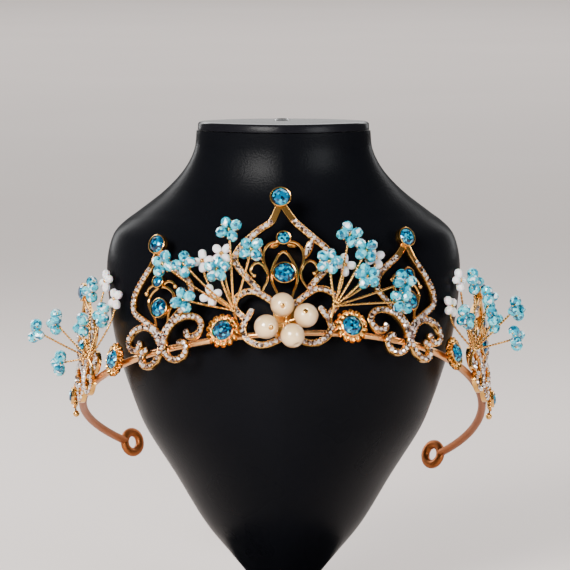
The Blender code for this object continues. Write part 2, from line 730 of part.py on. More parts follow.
clear()
crown = bpy.data.collections.new("bridal_crown")
cutters = bpy.data.collections.new("cutters")
cutters.hide_render = True
for group in (crown, cutters):
    bpy.context.scene.collection.children.link(group)
build_stand()
build_band()
build_castings()
build_settings()
build_pearls()
build_sprays()
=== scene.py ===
"""Bridal crown leaning on a neck bust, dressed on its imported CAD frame. Metres, +Z up, the front faces -Y.

The crown's metalwork is drawn flat in millimetres, as its castings are before they are bent: s runs
along the band, v up from it and w out from it. wrap() carries such a drawing to its place.
"""

import math

import bmesh
import bpy
import numpy as np
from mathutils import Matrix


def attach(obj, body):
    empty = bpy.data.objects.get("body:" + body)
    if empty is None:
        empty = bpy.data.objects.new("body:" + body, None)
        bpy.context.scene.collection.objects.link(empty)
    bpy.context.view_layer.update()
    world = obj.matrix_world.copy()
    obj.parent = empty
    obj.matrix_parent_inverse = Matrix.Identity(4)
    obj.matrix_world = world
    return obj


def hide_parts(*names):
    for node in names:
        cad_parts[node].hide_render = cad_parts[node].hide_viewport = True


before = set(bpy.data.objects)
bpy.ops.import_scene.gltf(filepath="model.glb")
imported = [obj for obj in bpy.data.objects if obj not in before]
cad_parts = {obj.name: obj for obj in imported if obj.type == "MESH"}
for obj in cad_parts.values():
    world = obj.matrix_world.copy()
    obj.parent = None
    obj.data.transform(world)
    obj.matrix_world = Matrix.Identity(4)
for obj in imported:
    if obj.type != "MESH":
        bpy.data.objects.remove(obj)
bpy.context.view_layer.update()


# Neck bust: a moulded display form covered in thin black leatherette, pulled smooth over the
# shoulders. Its pointed foot is let into the base plate, and a flat lid closes the neck.

MM = 0.001
FRONT_POWER = 1.6
BACK_POWER = 1.9
# Height, half width, reach to the front and to the back
BUST_ROWS = np.array((
    (5.3, 6.0, 6.5, 5.5), (10.0, 9.9, 10.4, 7.6), (20.0, 18.2, 18.8, 12.2),
    (30.8, 26.9, 27.5, 17.0), (46.8, 36.5, 37.5, 22.0), (62.1, 46.1, 44.2, 25.8),
    (72.0, 50.4, 46.8, 27.0), (84.0, 54.5, 48.3, 28.0), (93.1, 57.0, 48.4, 28.2),
    (101.3, 58.4, 47.6, 28.2), (110.0, 59.4, 43.4, 27.9), (118.0, 59.7, 39.0, 27.2),
    (123.4, 59.1, 35.4, 26.4), (128.0, 57.8, 31.8, 25.2), (131.0, 56.0, 29.2, 24.0),
    (134.0, 52.8, 26.8, 22.6), (137.0, 48.7, 24.7, 21.0), (143.8, 40.0, 20.9, 18.0),
    (150.7, 33.6, 18.4, 15.5), (157.5, 30.1, 17.2, 14.6), (163.9, 29.3, 17.0, 14.5),
))
GRAIN_HEIGHT = 0.00012
SKIN_TONES = (0.7, 1.3)
BUST_SIDES = 120


def new_node(tree, kind, inputs=(), **settings):
    """A shader node with its settings, and its inputs set to values or linked to sockets."""
    made = tree.nodes.new(kind)
    for key, value in settings.items():
        setattr(made, key, value)
    for key, value in dict(inputs).items():
        if isinstance(value, bpy.types.NodeSocket):
            tree.links.new(value, made.inputs[key])
        else:
            made.inputs[key].default_value = value
    return made


def new_material(name):
    material = bpy.data.materials.new(name)
    material.use_nodes = True
    return material, material.node_tree, material.node_tree.nodes["Principled BSDF"]


def new_group(name, inputs, outputs):
    """A shader node group with named value inputs and outputs, and its two end nodes."""
    group = bpy.data.node_groups.new(name, "ShaderNodeTree")
    for label, start in inputs.items():
        socket = group.interface.new_socket(label, in_out="INPUT", socket_type="NodeSocketFloat")
        socket.default_value = start
    for label in outputs:
        group.interface.new_socket(label, in_out="OUTPUT", socket_type="NodeSocketFloat")
    return group, new_node(group, "NodeGroupInput"), new_node(group, "NodeGroupOutput")


def grain_group():
    """Two sizes of pebbled grain as one height, and a slow cloud that dulls and polishes the skin."""
    group, given, result = new_group(
        "skin_grain", {"Grain Scale": 1500.0, "Cloud Scale": 25.0}, ("Height", "Cloud")
    )
    place = new_node(group, "ShaderNodeTexCoord").outputs["Object"]
    cells = new_node(group, "ShaderNodeTexVoronoi", {"Vector": place, "Scale": given.outputs["Grain Scale"]})
    fine = new_node(group, "ShaderNodeTexNoise", {"Vector": place, "Scale": given.outputs["Grain Scale"]})
    both = new_node(group, "ShaderNodeMath", {0: cells.outputs["Distance"], 1: fine.outputs["Fac"]})
    cloud = new_node(group, "ShaderNodeTexNoise", {"Vector": place, "Scale": given.outputs["Cloud Scale"]})
    group.links.new(both.outputs[0], result.inputs["Height"])
    group.links.new(cloud.outputs["Fac"], result.inputs["Cloud"])
    return group


def leatherette(name, colour, grain_depth, smooth, dull, shine):
    """Grained black skin between two roughnesses; shine is how strongly it reflects face on."""
    material, tree, shader = new_material(name)
    grain = new_node(tree, "ShaderNodeGroup", node_tree=skin_grain)
    cloud = grain.outputs["Cloud"]
    bump = new_node(tree, "ShaderNodeBump", {
        "Height": grain.outputs["Height"], "Strength": grain_depth, "Distance": GRAIN_HEIGHT,
    })
    rough = new_node(tree, "ShaderNodeMapRange", {"Value": cloud, "To Min": smooth, "To Max": dull})
    shade = new_node(tree, "ShaderNodeMapRange", {
        "Value": cloud, "To Min": SKIN_TONES[0], "To Max": SKIN_TONES[1],
    })
    tone = new_node(
        tree, "ShaderNodeVectorMath", {0: colour, "Scale": shade.outputs[0]}, operation="SCALE"
    )
    tree.links.new(tone.outputs[0], shader.inputs["Base Color"])
    tree.links.new(rough.outputs[0], shader.inputs["Roughness"])
    tree.links.new(bump.outputs["Normal"], shader.inputs["Normal"])
    shader.inputs["Specular IOR Level"].default_value = shine
    return material


def skin(grid, loop=False):
    """Quads between neighbours of a grid P[i, j]. Each ring j closes on itself; the rows i close
    into a loop, or end in fans of triangles round the middle of the first and last ring."""
    rows, columns = grid.shape[:2]
    i = np.arange(rows if loop else rows - 1)[:, None]
    j = np.arange(columns)[None, :]
    after_i, after_j = (i + 1) % rows, (j + 1) % columns
    corners = (i * columns + j, i * columns + after_j, after_i * columns + after_j, after_i * columns + j)
    quads = np.stack(np.broadcast_arrays(*corners), axis=-1).reshape(-1, 4)
    points = grid.reshape(-1, 3)
    if loop:
        return points, quads, np.empty((0, 3), int)
    ends = grid[[0, -1]].mean(axis=1)
    first = np.stack([after_j[0], j[0], np.full(columns, len(points))], axis=-1)
    last = np.stack([j[0], after_j[0], np.full(columns, len(points) + 1)], axis=-1)
    last[:, :2] += (rows - 1) * columns
    return np.concatenate([points, ends]), quads, np.concatenate([first, last])


def joined(shapes):
    """Several shapes, each (points, quads, triangles), as one, with their indices moved on."""
    starts = np.cumsum([0] + [len(shape[0]) for shape in shapes[:-1]])
    points = np.concatenate([shape[0] for shape in shapes])
    quads = np.concatenate([shape[1] + start for shape, start in zip(shapes, starts)])
    triangles = np.concatenate([shape[2] + start for shape, start in zip(shapes, starts)])
    return points, quads, triangles


def piece(name, shapes, material, nodes=(), sharp=40.0):
    """A finished piece from shapes in millimetres: outward faces, smooth up to the sharp angle."""
    points, quads, triangles = joined(shapes)
    mesh = bpy.data.meshes.new(name)
    mesh.from_pydata((points * MM).tolist(), [], quads.tolist() + triangles.tolist())
    shape = bmesh.new()
    shape.from_mesh(mesh)
    bmesh.ops.recalc_face_normals(shape, faces=shape.faces)
    shape.to_mesh(mesh)
    shape.free()
    mesh.shade_smooth()
    mesh.set_sharp_from_angle(angle=math.radians(sharp))
    mesh.materials.append(material)
    made = bpy.data.objects.new(name, mesh)
    bpy.context.scene.collection.objects.link(made)
    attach(made, "root")
    if nodes:
        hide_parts(*nodes)
    return made


def through(rows, count):
    """Rows of numbers as a Catmull-Rom curve through each row, with count even steps of the row index."""
    rows = np.asarray(rows, float)
    padded = np.concatenate([2 * rows[:1] - rows[1:2], rows, 2 * rows[-1:] - rows[-2:-1]])
    place = np.linspace(0, len(rows) - 1, count)
    start = np.minimum(place.astype(int), len(rows) - 2)
    t = (place - start)[:, None]
    p0, p1, p2, p3 = (padded[start + k] for k in range(4))
    bend = (2 * p0 - 5 * p1 + 4 * p2 - p3) * t**2 + (3 * p1 - p0 - 3 * p2 + p3) * t**3
    return 0.5 * (2 * p1 + (p2 - p0) * t + bend)


def lofted(rows, sides):
    """Rings at each height: power curves |x/a|^p + |y/b|^p = 1 with their own power and reach
    before and behind the middle plane."""
    angle = np.arange(sides) / sides * 2 * math.pi
    power = 2 / np.where(np.sin(angle) < 0, FRONT_POWER, BACK_POWER)
    across = np.sign(np.cos(angle)) * np.abs(np.cos(angle)) ** power
    depth = np.sign(np.sin(angle)) * np.abs(np.sin(angle)) ** power
    height, half_width, front, back = rows.T[:, :, None]
    reach = np.where(depth < 0, front, back)
    level = np.broadcast_to(height, reach.shape)
    return skin(np.stack([half_width * across, reach * depth, level], axis=-1))


skin_grain = grain_group()
black_skin = leatherette(
    "black_leatherette", (0.003, 0.0033, 0.0045), grain_depth=0.2, smooth=0.25, dull=0.31, shine=0.03
)
bust = lofted(through(BUST_ROWS, 150), BUST_SIDES)
piece("bust", [bust], black_skin, ["neck_bust"], sharp=60)

# The lid's face is polished and mirrors the bright room; its edge is dull
LID_POLISH = {"From Min": 0.1664, "From Max": 0.1669}
black_lid = leatherette(
    "black_lid", (0.006, 0.006, 0.008), grain_depth=0.1, smooth=0.22, dull=0.28, shine=0.05
)
tree = black_lid.node_tree
shader = tree.nodes["Principled BSDF"]
place = new_node(tree, "ShaderNodeTexCoord").outputs["Object"]
height = new_node(tree, "ShaderNodeSeparateXYZ", {0: place}).outputs["Z"]
polish = new_node(tree, "ShaderNodeMapRange", {"Value": height, **LID_POLISH})
tree.links.new(polish.outputs[0], shader.inputs["Coat Weight"])
shader.inputs["Coat Roughness"].default_value = 0.16
shader.inputs["Coat IOR"].default_value = 1.8
# Height, half width, reach to the front and to the back, up the edge and in over the face
LID_ROWS = np.array((
    (164.15, 28.6, 16.5, 14.1), (164.2, 28.9, 16.7, 14.3), (166.2, 28.8, 16.6, 14.2),
    (166.7, 28.5, 16.3, 13.9), (167.0, 27.9, 15.8, 13.4), (167.1, 26.0, 14.2, 12.0),
    (167.1, 8.0, 4.4, 3.7),
))
# The raised rim of the oval hole in the lid: its middle, half sizes and half thickness
LID_HOLE = {"x": -0.5, "y": 6.5, "width": 2.6, "depth": 3.6, "rim": 0.28}
# The rim is a ring of small circles: around it and about its own wire
around = np.arange(48)[:, None] / 48 * 2 * math.pi
about = np.arange(8)[None, :] / 8 * 2 * math.pi
out = LID_HOLE["rim"] * np.cos(about)
rim = skin(np.stack([
    LID_HOLE["x"] + (LID_HOLE["width"] + out) * np.cos(around),
    LID_HOLE["y"] + (LID_HOLE["depth"] + out) * np.sin(around),
    LID_ROWS[-1, 0] + LID_HOLE["rim"] * np.sin(about) + 0 * around,
], axis=-1), loop=True)
lid = lofted(LID_ROWS, BUST_SIDES)
piece("neck_lid", [lid, rim], black_lid, ["neck_cap"], sharp=35)
# Radius and height of the round base plate's rings, its rims rounded over
PLATE_ROWS = np.array((
    (39.3, 0.0), (39.8, 0.3), (40.0, 0.9), (40.0, 4.0), (39.7, 4.7), (39.0, 5.0), (4.0, 5.0),
))
angle = np.arange(BUST_SIDES) / BUST_SIDES * 2 * math.pi
radius, level = PLATE_ROWS.T[:, :, None]
level = np.broadcast_to(level, (len(PLATE_ROWS), BUST_SIDES))
foot = skin(np.stack([radius * np.cos(angle), radius * np.sin(angle), level], axis=-1))
piece("foot_plate", [foot], black_skin, ["base_plate"], sharp=50)


# Head band: one wire of gilt metal, drawn thinner in front and bent to the head. Each end is flattened
# into an oval eye that turns forwards; a hidden pin behind the pearls holds it to the bust.

CROWN_FRONT = np.array((-0.4, -50.0, 101.3))
CROWN_TILT = math.radians(24.3)
CROWN_ROLL = math.radians(2.7)
CROWN_TWIST = math.radians(-0.036)
FRONT_RADIUS = 62.3
FRONT_SWEEP = math.radians(59.7)
SIDE_RADIUS = 113.3
BAND_REACH = 178.0
BAND_RADIUS_FRONT = 1.05
BAND_RADIUS_ARM = 1.4
# Where the wire is thin, and from where it is full, by its length from the middle
BAND_GROWTH = (30.0, 100.0)
EYE_TURN = math.radians(26.0)
EYE_ACROSS = 3.3
EYE_UP = 3.7
EYE_RADIUS = 1.6
SCRATCH_HEIGHT = 0.00005
# Behind the chest the wire is rougher, and its colour is painted dark brown as painted shade for the dim
# room the arms
# reflect: from where to where, by y from the crown's front back to its arms, with the arms' painted shade
# and how much rougher they are
ARM_REACH = {"From Min": -0.03, "From Max": 0.005}
ARM_PAINTED_SHADE = (0.30, 0.095, 0.028, 1.0)
ARM_DULL = 0.22


def head_curve(s):
    """Across, depth and heading of the head curve at arc length s: an arc in front, a flatter arc behind."""
    reach = np.abs(s)
    front_turn = np.minimum(reach / FRONT_RADIUS, FRONT_SWEEP)
    turn = front_turn + np.maximum(reach - FRONT_RADIUS * FRONT_SWEEP, 0.0) / SIDE_RADIUS
    across = FRONT_RADIUS * np.sin(front_turn) + SIDE_RADIUS * (np.sin(turn) - np.sin(front_turn))
    depth = FRONT_RADIUS * (1 - np.cos(front_turn)) + SIDE_RADIUS * (np.cos(front_turn) - np.cos(turn))
    side = np.where(s < 0, -1.0, 1.0)
    return side * across, depth, side * turn


def band_radius(s):
    return np.interp(np.abs(s), BAND_GROWTH, (BAND_RADIUS_FRONT, BAND_RADIUS_ARM))


def lean(across, depth, v):
    """A place in the crown's own plane, rolled, tilted and moved to the chest."""
    roll = CROWN_ROLL + CROWN_TWIST * depth
    x = across * np.cos(roll) - v * np.sin(roll)
    up = across * np.sin(roll) + v * np.cos(roll)
    y = depth * math.cos(CROWN_TILT) + up * math.sin(CROWN_TILT)
    z = up * math.cos(CROWN_TILT) - depth * math.sin(CROWN_TILT)
    return np.stack([x, y, z], axis=-1) + CROWN_FRONT


def wrap(points):
    """Points (s, v, w) of the flat drawing, bent round the head curve and leaned on the chest."""
    s, v, w = np.moveaxis(np.asarray(points, float), -1, 0)
    across, depth, turn = head_curve(s)
    return lean(across + w * np.sin(turn), depth - w * np.cos(turn), v)


def unit(vectors):
    return vectors / np.maximum(np.linalg.norm(vectors, axis=-1, keepdims=True), 1e-12)


def sides_of(path, up, loop=False):
    """At each point of a path, the direction across it and the one over it that is nearest to up."""
    if loop:
        run = np.roll(path, -1, axis=0) - np.roll(path, 1, axis=0)
    else:
        run = np.gradient(path, axis=0)
    across = unit(np.cross(unit(run), np.broadcast_to(up, path.shape)))
    return across, unit(np.cross(across, run))


def carried(path, section, up=(0.0, 0.0, 1.0), size=1.0, loop=False):
    """A section of (across, over) carried along a path, scaled by size at each point."""
    across, over = sides_of(path, up, loop)
    section = np.asarray(section, float)[None] * np.broadcast_to(size, len(path))[:, None, None]
    grid = path[:, None] + section[..., :1] * across[:, None] + section[..., 1:] * over[:, None]
    return skin(grid, loop)


def round_section(sides):
    angle = np.arange(sides) / sides * 2 * math.pi
    return np.stack([np.cos(angle), np.sin(angle)], axis=-1)


def wear_group():
    """Slow clouds and fine scratches of handled metal, each from 0 to 1."""
    group, given, result = new_group(
        "metal_wear", {"Cloud Scale": 90.0, "Scratch Scale": 900.0}, ("Cloud", "Scratch")
    )
    place = new_node(group, "ShaderNodeTexCoord").outputs["Object"]
    cloud = new_node(group, "ShaderNodeTexNoise", {
        "Vector": place, "Scale": given.outputs["Cloud Scale"], "Detail": 3.0,
    })
    scratch = new_node(group, "ShaderNodeTexNoise", {
        "Vector": place, "Scale": given.outputs["Scratch Scale"], "Detail": 4.0,
    })
    group.links.new(cloud.outputs["Fac"], result.inputs["Cloud"])
    group.links.new(scratch.outputs["Fac"], result.inputs["Scratch"])
    return group


def gilt(name, light, dark, smooth, dull, scratch_depth=0.05):
    """Gilt metal between two tones and two roughnesses."""
    material, tree, shader = new_material(name)
    wear = new_node(tree, "ShaderNodeGroup", node_tree=metal_wear)
    cloud = wear.outputs["Cloud"]
    tone = new_node(tree, "ShaderNodeMixRGB", {0: cloud, 1: (*light, 1.0), 2: (*dark, 1.0)})
    rough = new_node(tree, "ShaderNodeMapRange", {"Value": cloud, "To Min": smooth, "To Max": dull})
    bump = new_node(tree, "ShaderNodeBump", {
        "Height": wear.outputs["Scratch"], "Strength": scratch_depth, "Distance": SCRATCH_HEIGHT,
    })
    tree.links.new(tone.outputs[0], shader.inputs["Base Color"])
    tree.links.new(rough.outputs[0], shader.inputs["Roughness"])
    tree.links.new(bump.outputs["Normal"], shader.inputs["Normal"])
    shader.inputs["Metallic"].default_value = 1.0
    return material


metal_wear = wear_group()
crest_gilt = gilt("crest_gilt", (0.90, 0.54, 0.16), (0.56, 0.26, 0.06), smooth=0.14, dull=0.26)
copper_gilt = gilt("copper_gilt", (0.86, 0.47, 0.20), (0.70, 0.33, 0.12), smooth=0.20, dull=0.32)
tree = copper_gilt.node_tree
shader = tree.nodes["Principled BSDF"]
place = new_node(tree, "ShaderNodeTexCoord").outputs["Object"]
depth = new_node(tree, "ShaderNodeSeparateXYZ", {0: place}).outputs["Y"]
reach = new_node(tree, "ShaderNodeMapRange", {"Value": depth, **ARM_REACH}).outputs[0]
# Towards the arms the colour turns dark brown: painted shade
gilded = shader.inputs["Base Color"].links[0].from_socket
painted_arm_shade = new_node(tree, "ShaderNodeMixRGB", {0: reach, 1: gilded, 2: ARM_PAINTED_SHADE})
polish = shader.inputs["Roughness"].links[0].from_socket
dull = new_node(tree, "ShaderNodeMath", {0: reach, 1: ARM_DULL, 2: polish}, operation="MULTIPLY_ADD")
tree.links.new(painted_arm_shade.outputs[0], shader.inputs["Base Color"])
tree.links.new(dull.outputs[0], shader.inputs["Roughness"])
s = np.linspace(-BAND_REACH, BAND_REACH, 321)
band_path = wrap(np.stack([s, 0 * s, 0 * s], axis=1))
band_shapes = [carried(band_path, round_section(16), (0, 0.4, 0.9), band_radius(s))]
for end in (-1, 1):
    across, depth, turn = head_curve(np.array(end * BAND_REACH))
    heading = turn + end * EYE_TURN
    angle = np.arange(48) / 48 * 2 * math.pi
    along = EYE_ACROSS * (1 + np.cos(angle))
    ring = lean(
        across + end * np.cos(heading) * along, depth + end * np.sin(heading) * along, EYE_UP * np.sin(angle)
    )
    middle = ring.mean(axis=0)
    facing = np.cross(ring[12] - middle, ring[0] - middle)
    flat_round = round_section(16) * (EYE_RADIUS, EYE_RADIUS * 0.9)
    band_shapes.append(carried(ring, flat_round, unit(facing), loop=True))
piece("band", band_shapes, copper_gilt, ["head_band"], sharp=60)
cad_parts["band_pin"].material_slots[0].material = copper_gilt


# Castings: five pierced crests of gilt metal, cast flat and bent to the band, soldered to its front.
# Each is scrolled bar, hollowed along its face for rows of set stones, with plain wire tracery inside.

CAST_BACK = 1.35
WIRE_W = 2.15
WIRE_RADIUS = 0.5
CASTING_SHIFT = 1.6
SIDE_CASTING = 42.4
FAR_CASTING = 92.5
FAR_SIZE = 0.9
CUP_WALL = 0.4
CUP_FLOOR = 2.6
CUP_RIM = 3.9
ARCH_LEFT = (
    (-0.4, 43.4), (-3.1, 37.9), (-6.4, 35.6), (-9.7, 33.1), (-12.9, 30.2), (-15.0, 27.2),
    (-15.2, 24.4), (-13.4, 21.3), (-11.0, 18.0), (-8.2, 14.2),
)
ARCH_RIGHT = (
    (0.4, 43.4), (3.9, 37.7), (6.6, 34.8), (10.3, 31.3), (13.3, 28.6), (15.1, 25.9),
    (14.8, 23.2), (12.7, 20.3), (10.2, 17.6), (7.4, 14.2),
)
UPPER_LOBE = (
    (-2.4, 8.4), (-4.6, 10.6), (-7.2, 12.7), (-9.7, 14.1), (-12.3, 14.2), (-14.9, 12.9),
    (-16.2, 10.9), (-15.8, 8.4), (-14.1, 6.3), (-12.6, 4.3),
)
SHORT_CURL = ((-13.0, 4.4), (-12.0, 5.8), (-10.6, 8.2))
LOWER_LOBE = (
    (-12.9, 4.8), (-13.8, 2.2), (-13.8, 0.1), (-12.4, -2.1), (-10.2, -3.7), (-8.0, -4.3),
    (-5.6, -4.0), (-1.6, -2.2),
)
FILIGREE = (
    (-0.8, 30.8), (-3.9, 30.3), (-5.8, 28.3), (-6.4, 25.8), (-6.1, 23.2), (-5.2, 20.6),
    (-5.5, 17.5), (-7.2, 14.4),
)
TEARDROP = (
    (0.0, 27.4), (-1.2, 26.5), (-2.2, 24.9), (-3.5, 22.2), (-4.1, 19.4), (-3.8, 16.3), (-2.6, 13.2),
    (-1.6, 9.8),
)
SIDE_SCROLL = ((-5.4, 20.6), (-6.6, 22.9), (-8.2, 24.0), (-9.8, 23.2), (-10.7, 21.2), (-9.6, 19.6))
LEAVES = (((-9.9, 32.4), (-6.5, 24.4), 1.25), ((-1.0, 30.0), (-4.4, 29.0), 0.8))
LEAF_LEVEL = CAST_BACK + 0.5
LEAF_SECTION = np.array((
    (-1.0, 0.0), (-0.55, 0.62), (0.0, 0.95), (0.55, 0.62), (1.0, 0.0), (0.0, -0.3),
))
LEAF_STONE_SECTION = np.array(((-1.0, 0.0), (-0.4, 0.75), (0.4, 0.75), (1.0, 0.0), (0.0, -0.8)))
# The oval plate's middle, half width and half height, and its rounded rim: how far in, and the level
BACK_PLATE = (0.0, 3.4, 4.3, 7.6)
BACK_PLATE_RIM = ((0.5, 1.35), (0.15, 1.4), (0.0, 1.6), (0.0, 2.7), (0.15, 2.9), (0.5, 2.95))
SIDE_ARCH = (
    (0.3, 33.4), (3.5, 28.7), (9.3, 23.0), (11.6, 19.8), (12.0, 17.0), (10.8, 14.0),
    (3.4, 7.7), (0.6, 4.4), (0.3, 2.0),
)
SIDE_UPPER = (
    (0.4, 0.8), (2.4, 5.2), (4.6, 7.5), (7.6, 8.7), (10.8, 8.8), (13.6, 7.7),
    (15.0, 5.4), (14.3, 3.1), (12.4, 1.8), (10.1, 2.0), (9.3, 4.4),
)
SIDE_LOWER = (
    (0.4, 0.9), (1.0, -1.6), (2.8, -4.0), (5.3, -5.1), (7.8, -4.5), (9.1, -2.3), (8.4, 0.1),
    (6.0, 0.7),
)
SIDE_TEAR = ((0.0, 21.4), (3.3, 19.8), (5.2, 17.2), (4.4, 13.9), (2.9, 11.2), (2.2, 7.2))
SIDE_ARM = ((0.4, 20.9), (2.8, 22.2), (5.0, 21.6), (5.9, 19.9))
# Stone cups: name, s, v, outer radius
CENTRE_CUPS = (("top", 0.0, 45.9, 3.4), ("upper", 0.3, 31.7, 2.4), ("round", 0.0, 19.7, 3.7))
SIDE_CUPS = (("top", 0.0, 35.7, 3.3), ("upper", 0.0, 22.8, 2.3), ("round", 0.0, 13.6, 3.4))
# Steps along bars and wires, and how much of its width a bar keeps at its ends
PATH_STEP = 0.5
BAR_END = 0.72
# Across the bar and out from the band: a channel between two raised lips
CHANNEL = np.array((
    (-1.08, 1.35), (-1.12, 1.9), (-1.10, 2.60), (-1.05, 2.80), (-0.98, 2.86), (-0.91, 2.82),
    (-0.86, 2.68), (0.86, 2.68), (0.91, 2.82), (0.98, 2.86), (1.05, 2.80), (1.10, 2.60),
    (1.12, 1.9), (1.08, 1.35),
))


def mirrored(path):
    return [(-s, v) for s, v in path]


def spaced(path, step, start=0.0, end=0.0):
    """A Catmull-Rom curve through (s, v) points, sampled at even lengths from start to end."""
    fine = through(path, 40 * len(path))
    length = np.concatenate([[0], np.cumsum(np.linalg.norm(np.diff(fine, axis=0), axis=1))])
    count = max(int(round((length[-1] - start - end) / step)), 1) + 1
    at = np.linspace(start, length[-1] - end, count)
    return np.stack([np.interp(at, length, column) for column in fine.T], axis=1)


def raised(path, w):
    """A flat path (s, v) at the level w."""
    return np.concatenate([path, np.full((len(path), 1), w)], axis=1)


def bent(shape):
    """A flat shape wrapped to its place."""
    return (wrap(shape[0]),) + tuple(shape[1:])


def bar(path):
    """The channelled section carried along a scroll, narrowed over its last two steps at each end."""
    line = spaced(path, PATH_STEP)
    from_end = np.minimum(np.arange(len(line)), np.arange(len(line))[::-1])
    narrow = np.minimum(BAR_END + (1 - BAR_END) * from_end / 2, 1)
    points = raised(line, 0.0)
    across, _ = sides_of(points, (0.0, 0.0, 1.0))
    grid = points[:, None] + CHANNEL[None, :, :1] * narrow[:, None, None] * across[:, None]
    grid[..., 2] += CHANNEL[None, :, 1]
    return skin(grid)


def turned(profile, sides, middle=(0.0, 0.0, 0.0)):
    """A profile of (radius, level) turned about the w direction at a flat place."""
    radius, level = np.asarray(profile, float).T
    angle = np.arange(sides) / sides * 2 * math.pi
    level = np.broadcast_to(level[:, None], (len(radius), sides))
    grid = np.stack([radius[:, None] * np.cos(angle), radius[:, None] * np.sin(angle), level], axis=-1)
    return skin(grid + np.asarray(middle, float))


def ball(radius, place, sides=14):
    """A sphere about a flat place, from pole to pole."""
    tilt = np.linspace(0.05, math.pi - 0.05, sides // 2 + 1)
    return turned(np.stack([radius * np.sin(tilt), radius * np.cos(tilt)], axis=-1), sides, place)


def tracery(path, ball_end=True):
    """A round wire that thins to its free end, which is melted into a small ball."""
    line = raised(spaced(path, PATH_STEP), WIRE_W)
    size = WIRE_RADIUS * np.interp(np.linspace(0, 1, len(line)), (0, 0.7, 1), (1.0, 0.95, 0.75))
    shapes = [carried(line, round_section(10), size=size)]
    if ball_end:
        shapes.append(ball(WIRE_RADIUS * 1.6, line[-1]))
    return shapes


def leaf(tip, root, half_width):
    """A pointed leaf with a ridge along it: its half width follows sin(pi u) and the ridge rises with it."""
    tip, root = np.array(tip), np.array(root)
    u = np.linspace(0.02, 0.98, 15)
    swell = np.sin(math.pi * u) ** 0.75
    line = raised(tip + (root - tip) * u[:, None], LEAF_LEVEL)
    return carried(line, LEAF_SECTION * (half_width, 1.1), size=swell)


def leaf_stone(tip, root, half_width):
    """A pointed cut stone let into a leaf: a flat face with one row of facets round it."""
    tip, root = np.array(tip), np.array(root)
    u = np.linspace(0.12, 0.88, 9)
    swell = np.sin(math.pi * (u - 0.06) / 0.88)
    line = raised(tip + (root - tip) * u[:, None], LEAF_LEVEL + 0.7)
    return carried(line, LEAF_STONE_SECTION * (half_width * 0.72, 1.0), size=swell)


def bezel(middle, radius):
    """A stone's cup: a thin wall with a rolled rim, a beaded foot and a floor for the stone."""
    inner = radius - CUP_WALL
    profile = (
        (0.01, CUP_FLOOR), (inner - 0.1, CUP_FLOOR), (inner, CUP_RIM - 0.3),
        (inner + 0.05, CUP_RIM - 0.05), (inner + 0.2, CUP_RIM), (radius - 0.06, CUP_RIM - 0.08),
        (radius, CUP_RIM - 0.3), (radius - 0.12, 2.9), (radius - 0.02, 2.5), (radius, 1.8),
        (radius - 0.1, CAST_BACK), (0.01, CAST_BACK),
    )
    return turned(profile, 40, (*middle, 0.0))


def back_plate():
    """The oval plate behind the pearls, its rim rounded over."""
    s, v, half_width, half_height = BACK_PLATE
    angle = np.arange(60) / 60 * 2 * math.pi
    oval = np.stack([s + half_width * np.cos(angle), v + half_height * np.sin(angle)], axis=-1)
    inset, level = np.array(BACK_PLATE_RIM).T[:, :, None, None]
    middle = np.array((s, v))
    rings = middle + (oval - middle) * (1 - inset / half_width)
    return skin(np.concatenate([rings, np.broadcast_to(level, (len(level), 60, 1))], axis=-1))


def stand_off(s):
    return float(band_radius(s)) - BAND_RADIUS_FRONT


def shifted(shape, s, w=0.0):
    return (shape[0] + (s, 0.0, w),) + tuple(shape[1:])


centre_bars = [ARCH_LEFT, ARCH_RIGHT]
for path in (UPPER_LOBE, SHORT_CURL, LOWER_LOBE):
    centre_bars += [path, mirrored(path)]
centre_shapes = [bar(path) for path in centre_bars] + [back_plate()]
for path in (FILIGREE, TEARDROP, SIDE_SCROLL):
    centre_shapes += tracery(path, path is SIDE_SCROLL) + tracery(mirrored(path), path is SIDE_SCROLL)
for tip, root, half_width in LEAVES:
    centre_shapes += [leaf(tip, root, half_width), leaf(*mirrored((tip, root)), half_width)]
centre_shapes += [bezel((s, v), radius) for _, s, v, radius in CENTRE_CUPS]


def side_pattern(size):
    """A side casting's scrolls, shapes and cups; its bars, wires and cups keep their thickness."""
    def halves(path):
        half = [(s * size, v * size) for s, v in path]
        return half, mirrored(half)

    bars = [half for path in (SIDE_ARCH, SIDE_UPPER, SIDE_LOWER) for half in halves(path)]
    shapes = [bar(path) for path in bars]
    for path in (SIDE_TEAR, SIDE_ARM):
        for half in halves(path):
            shapes += tracery(half, path is SIDE_ARM)
    cups = [(name, s * size, v * size, radius) for name, s, v, radius in SIDE_CUPS]
    return bars, shapes + [bezel((s, v), radius) for _, s, v, radius in cups], cups


CASTINGS = [("centre", 0.0, centre_bars, centre_shapes, CENTRE_CUPS)]
for name, reach, size in (("side", SIDE_CASTING, 1.0), ("far", FAR_CASTING, FAR_SIZE)):
    pattern = side_pattern(size)
    CASTINGS += [(f"{name}_{hand}", sign * reach, *pattern) for hand, sign in (("left", -1), ("right", 1))]
for name, reach, _, shapes, _ in CASTINGS:
    middle = reach + CASTING_SHIFT
    node = "centre_frame" if name == "centre" else name.replace("_", "_frame_")
    shapes = [bent(shifted(shape, middle, stand_off(middle))) for shape in shapes]
    piece(f"{name}_crest", shapes, crest_gilt, [node], sharp=35)


# Rhinestones: rows of clear cut stones, foiled behind, glued into the channel of every scroll; only the
# arches' tips are left bare. Two little gilt grains stand between each stone and the next.

BARE_TIP = 6.0
STONE_PITCH = 1.66
STONE_RADIUS = 0.8
STONE_LEVEL = 2.95
GRAIN_RADIUS = 0.22
GRAIN_OFFSET = 0.9
# How far a row's first and last stones stand from the ends of their scroll
ROW_START = 0.8
ROW_END = 0.7
# In radii: an eight-sided stone with its table, crown and short foot, and a six-sided domed grain
SMALL_STONE = np.array(((0.55, 0.62), (1.0, 0.10), (0.9, -0.45)))
SMALL_GRAIN = np.array(((0.5, 1.3), (1.0, 0.7), (1.0, -0.9)))


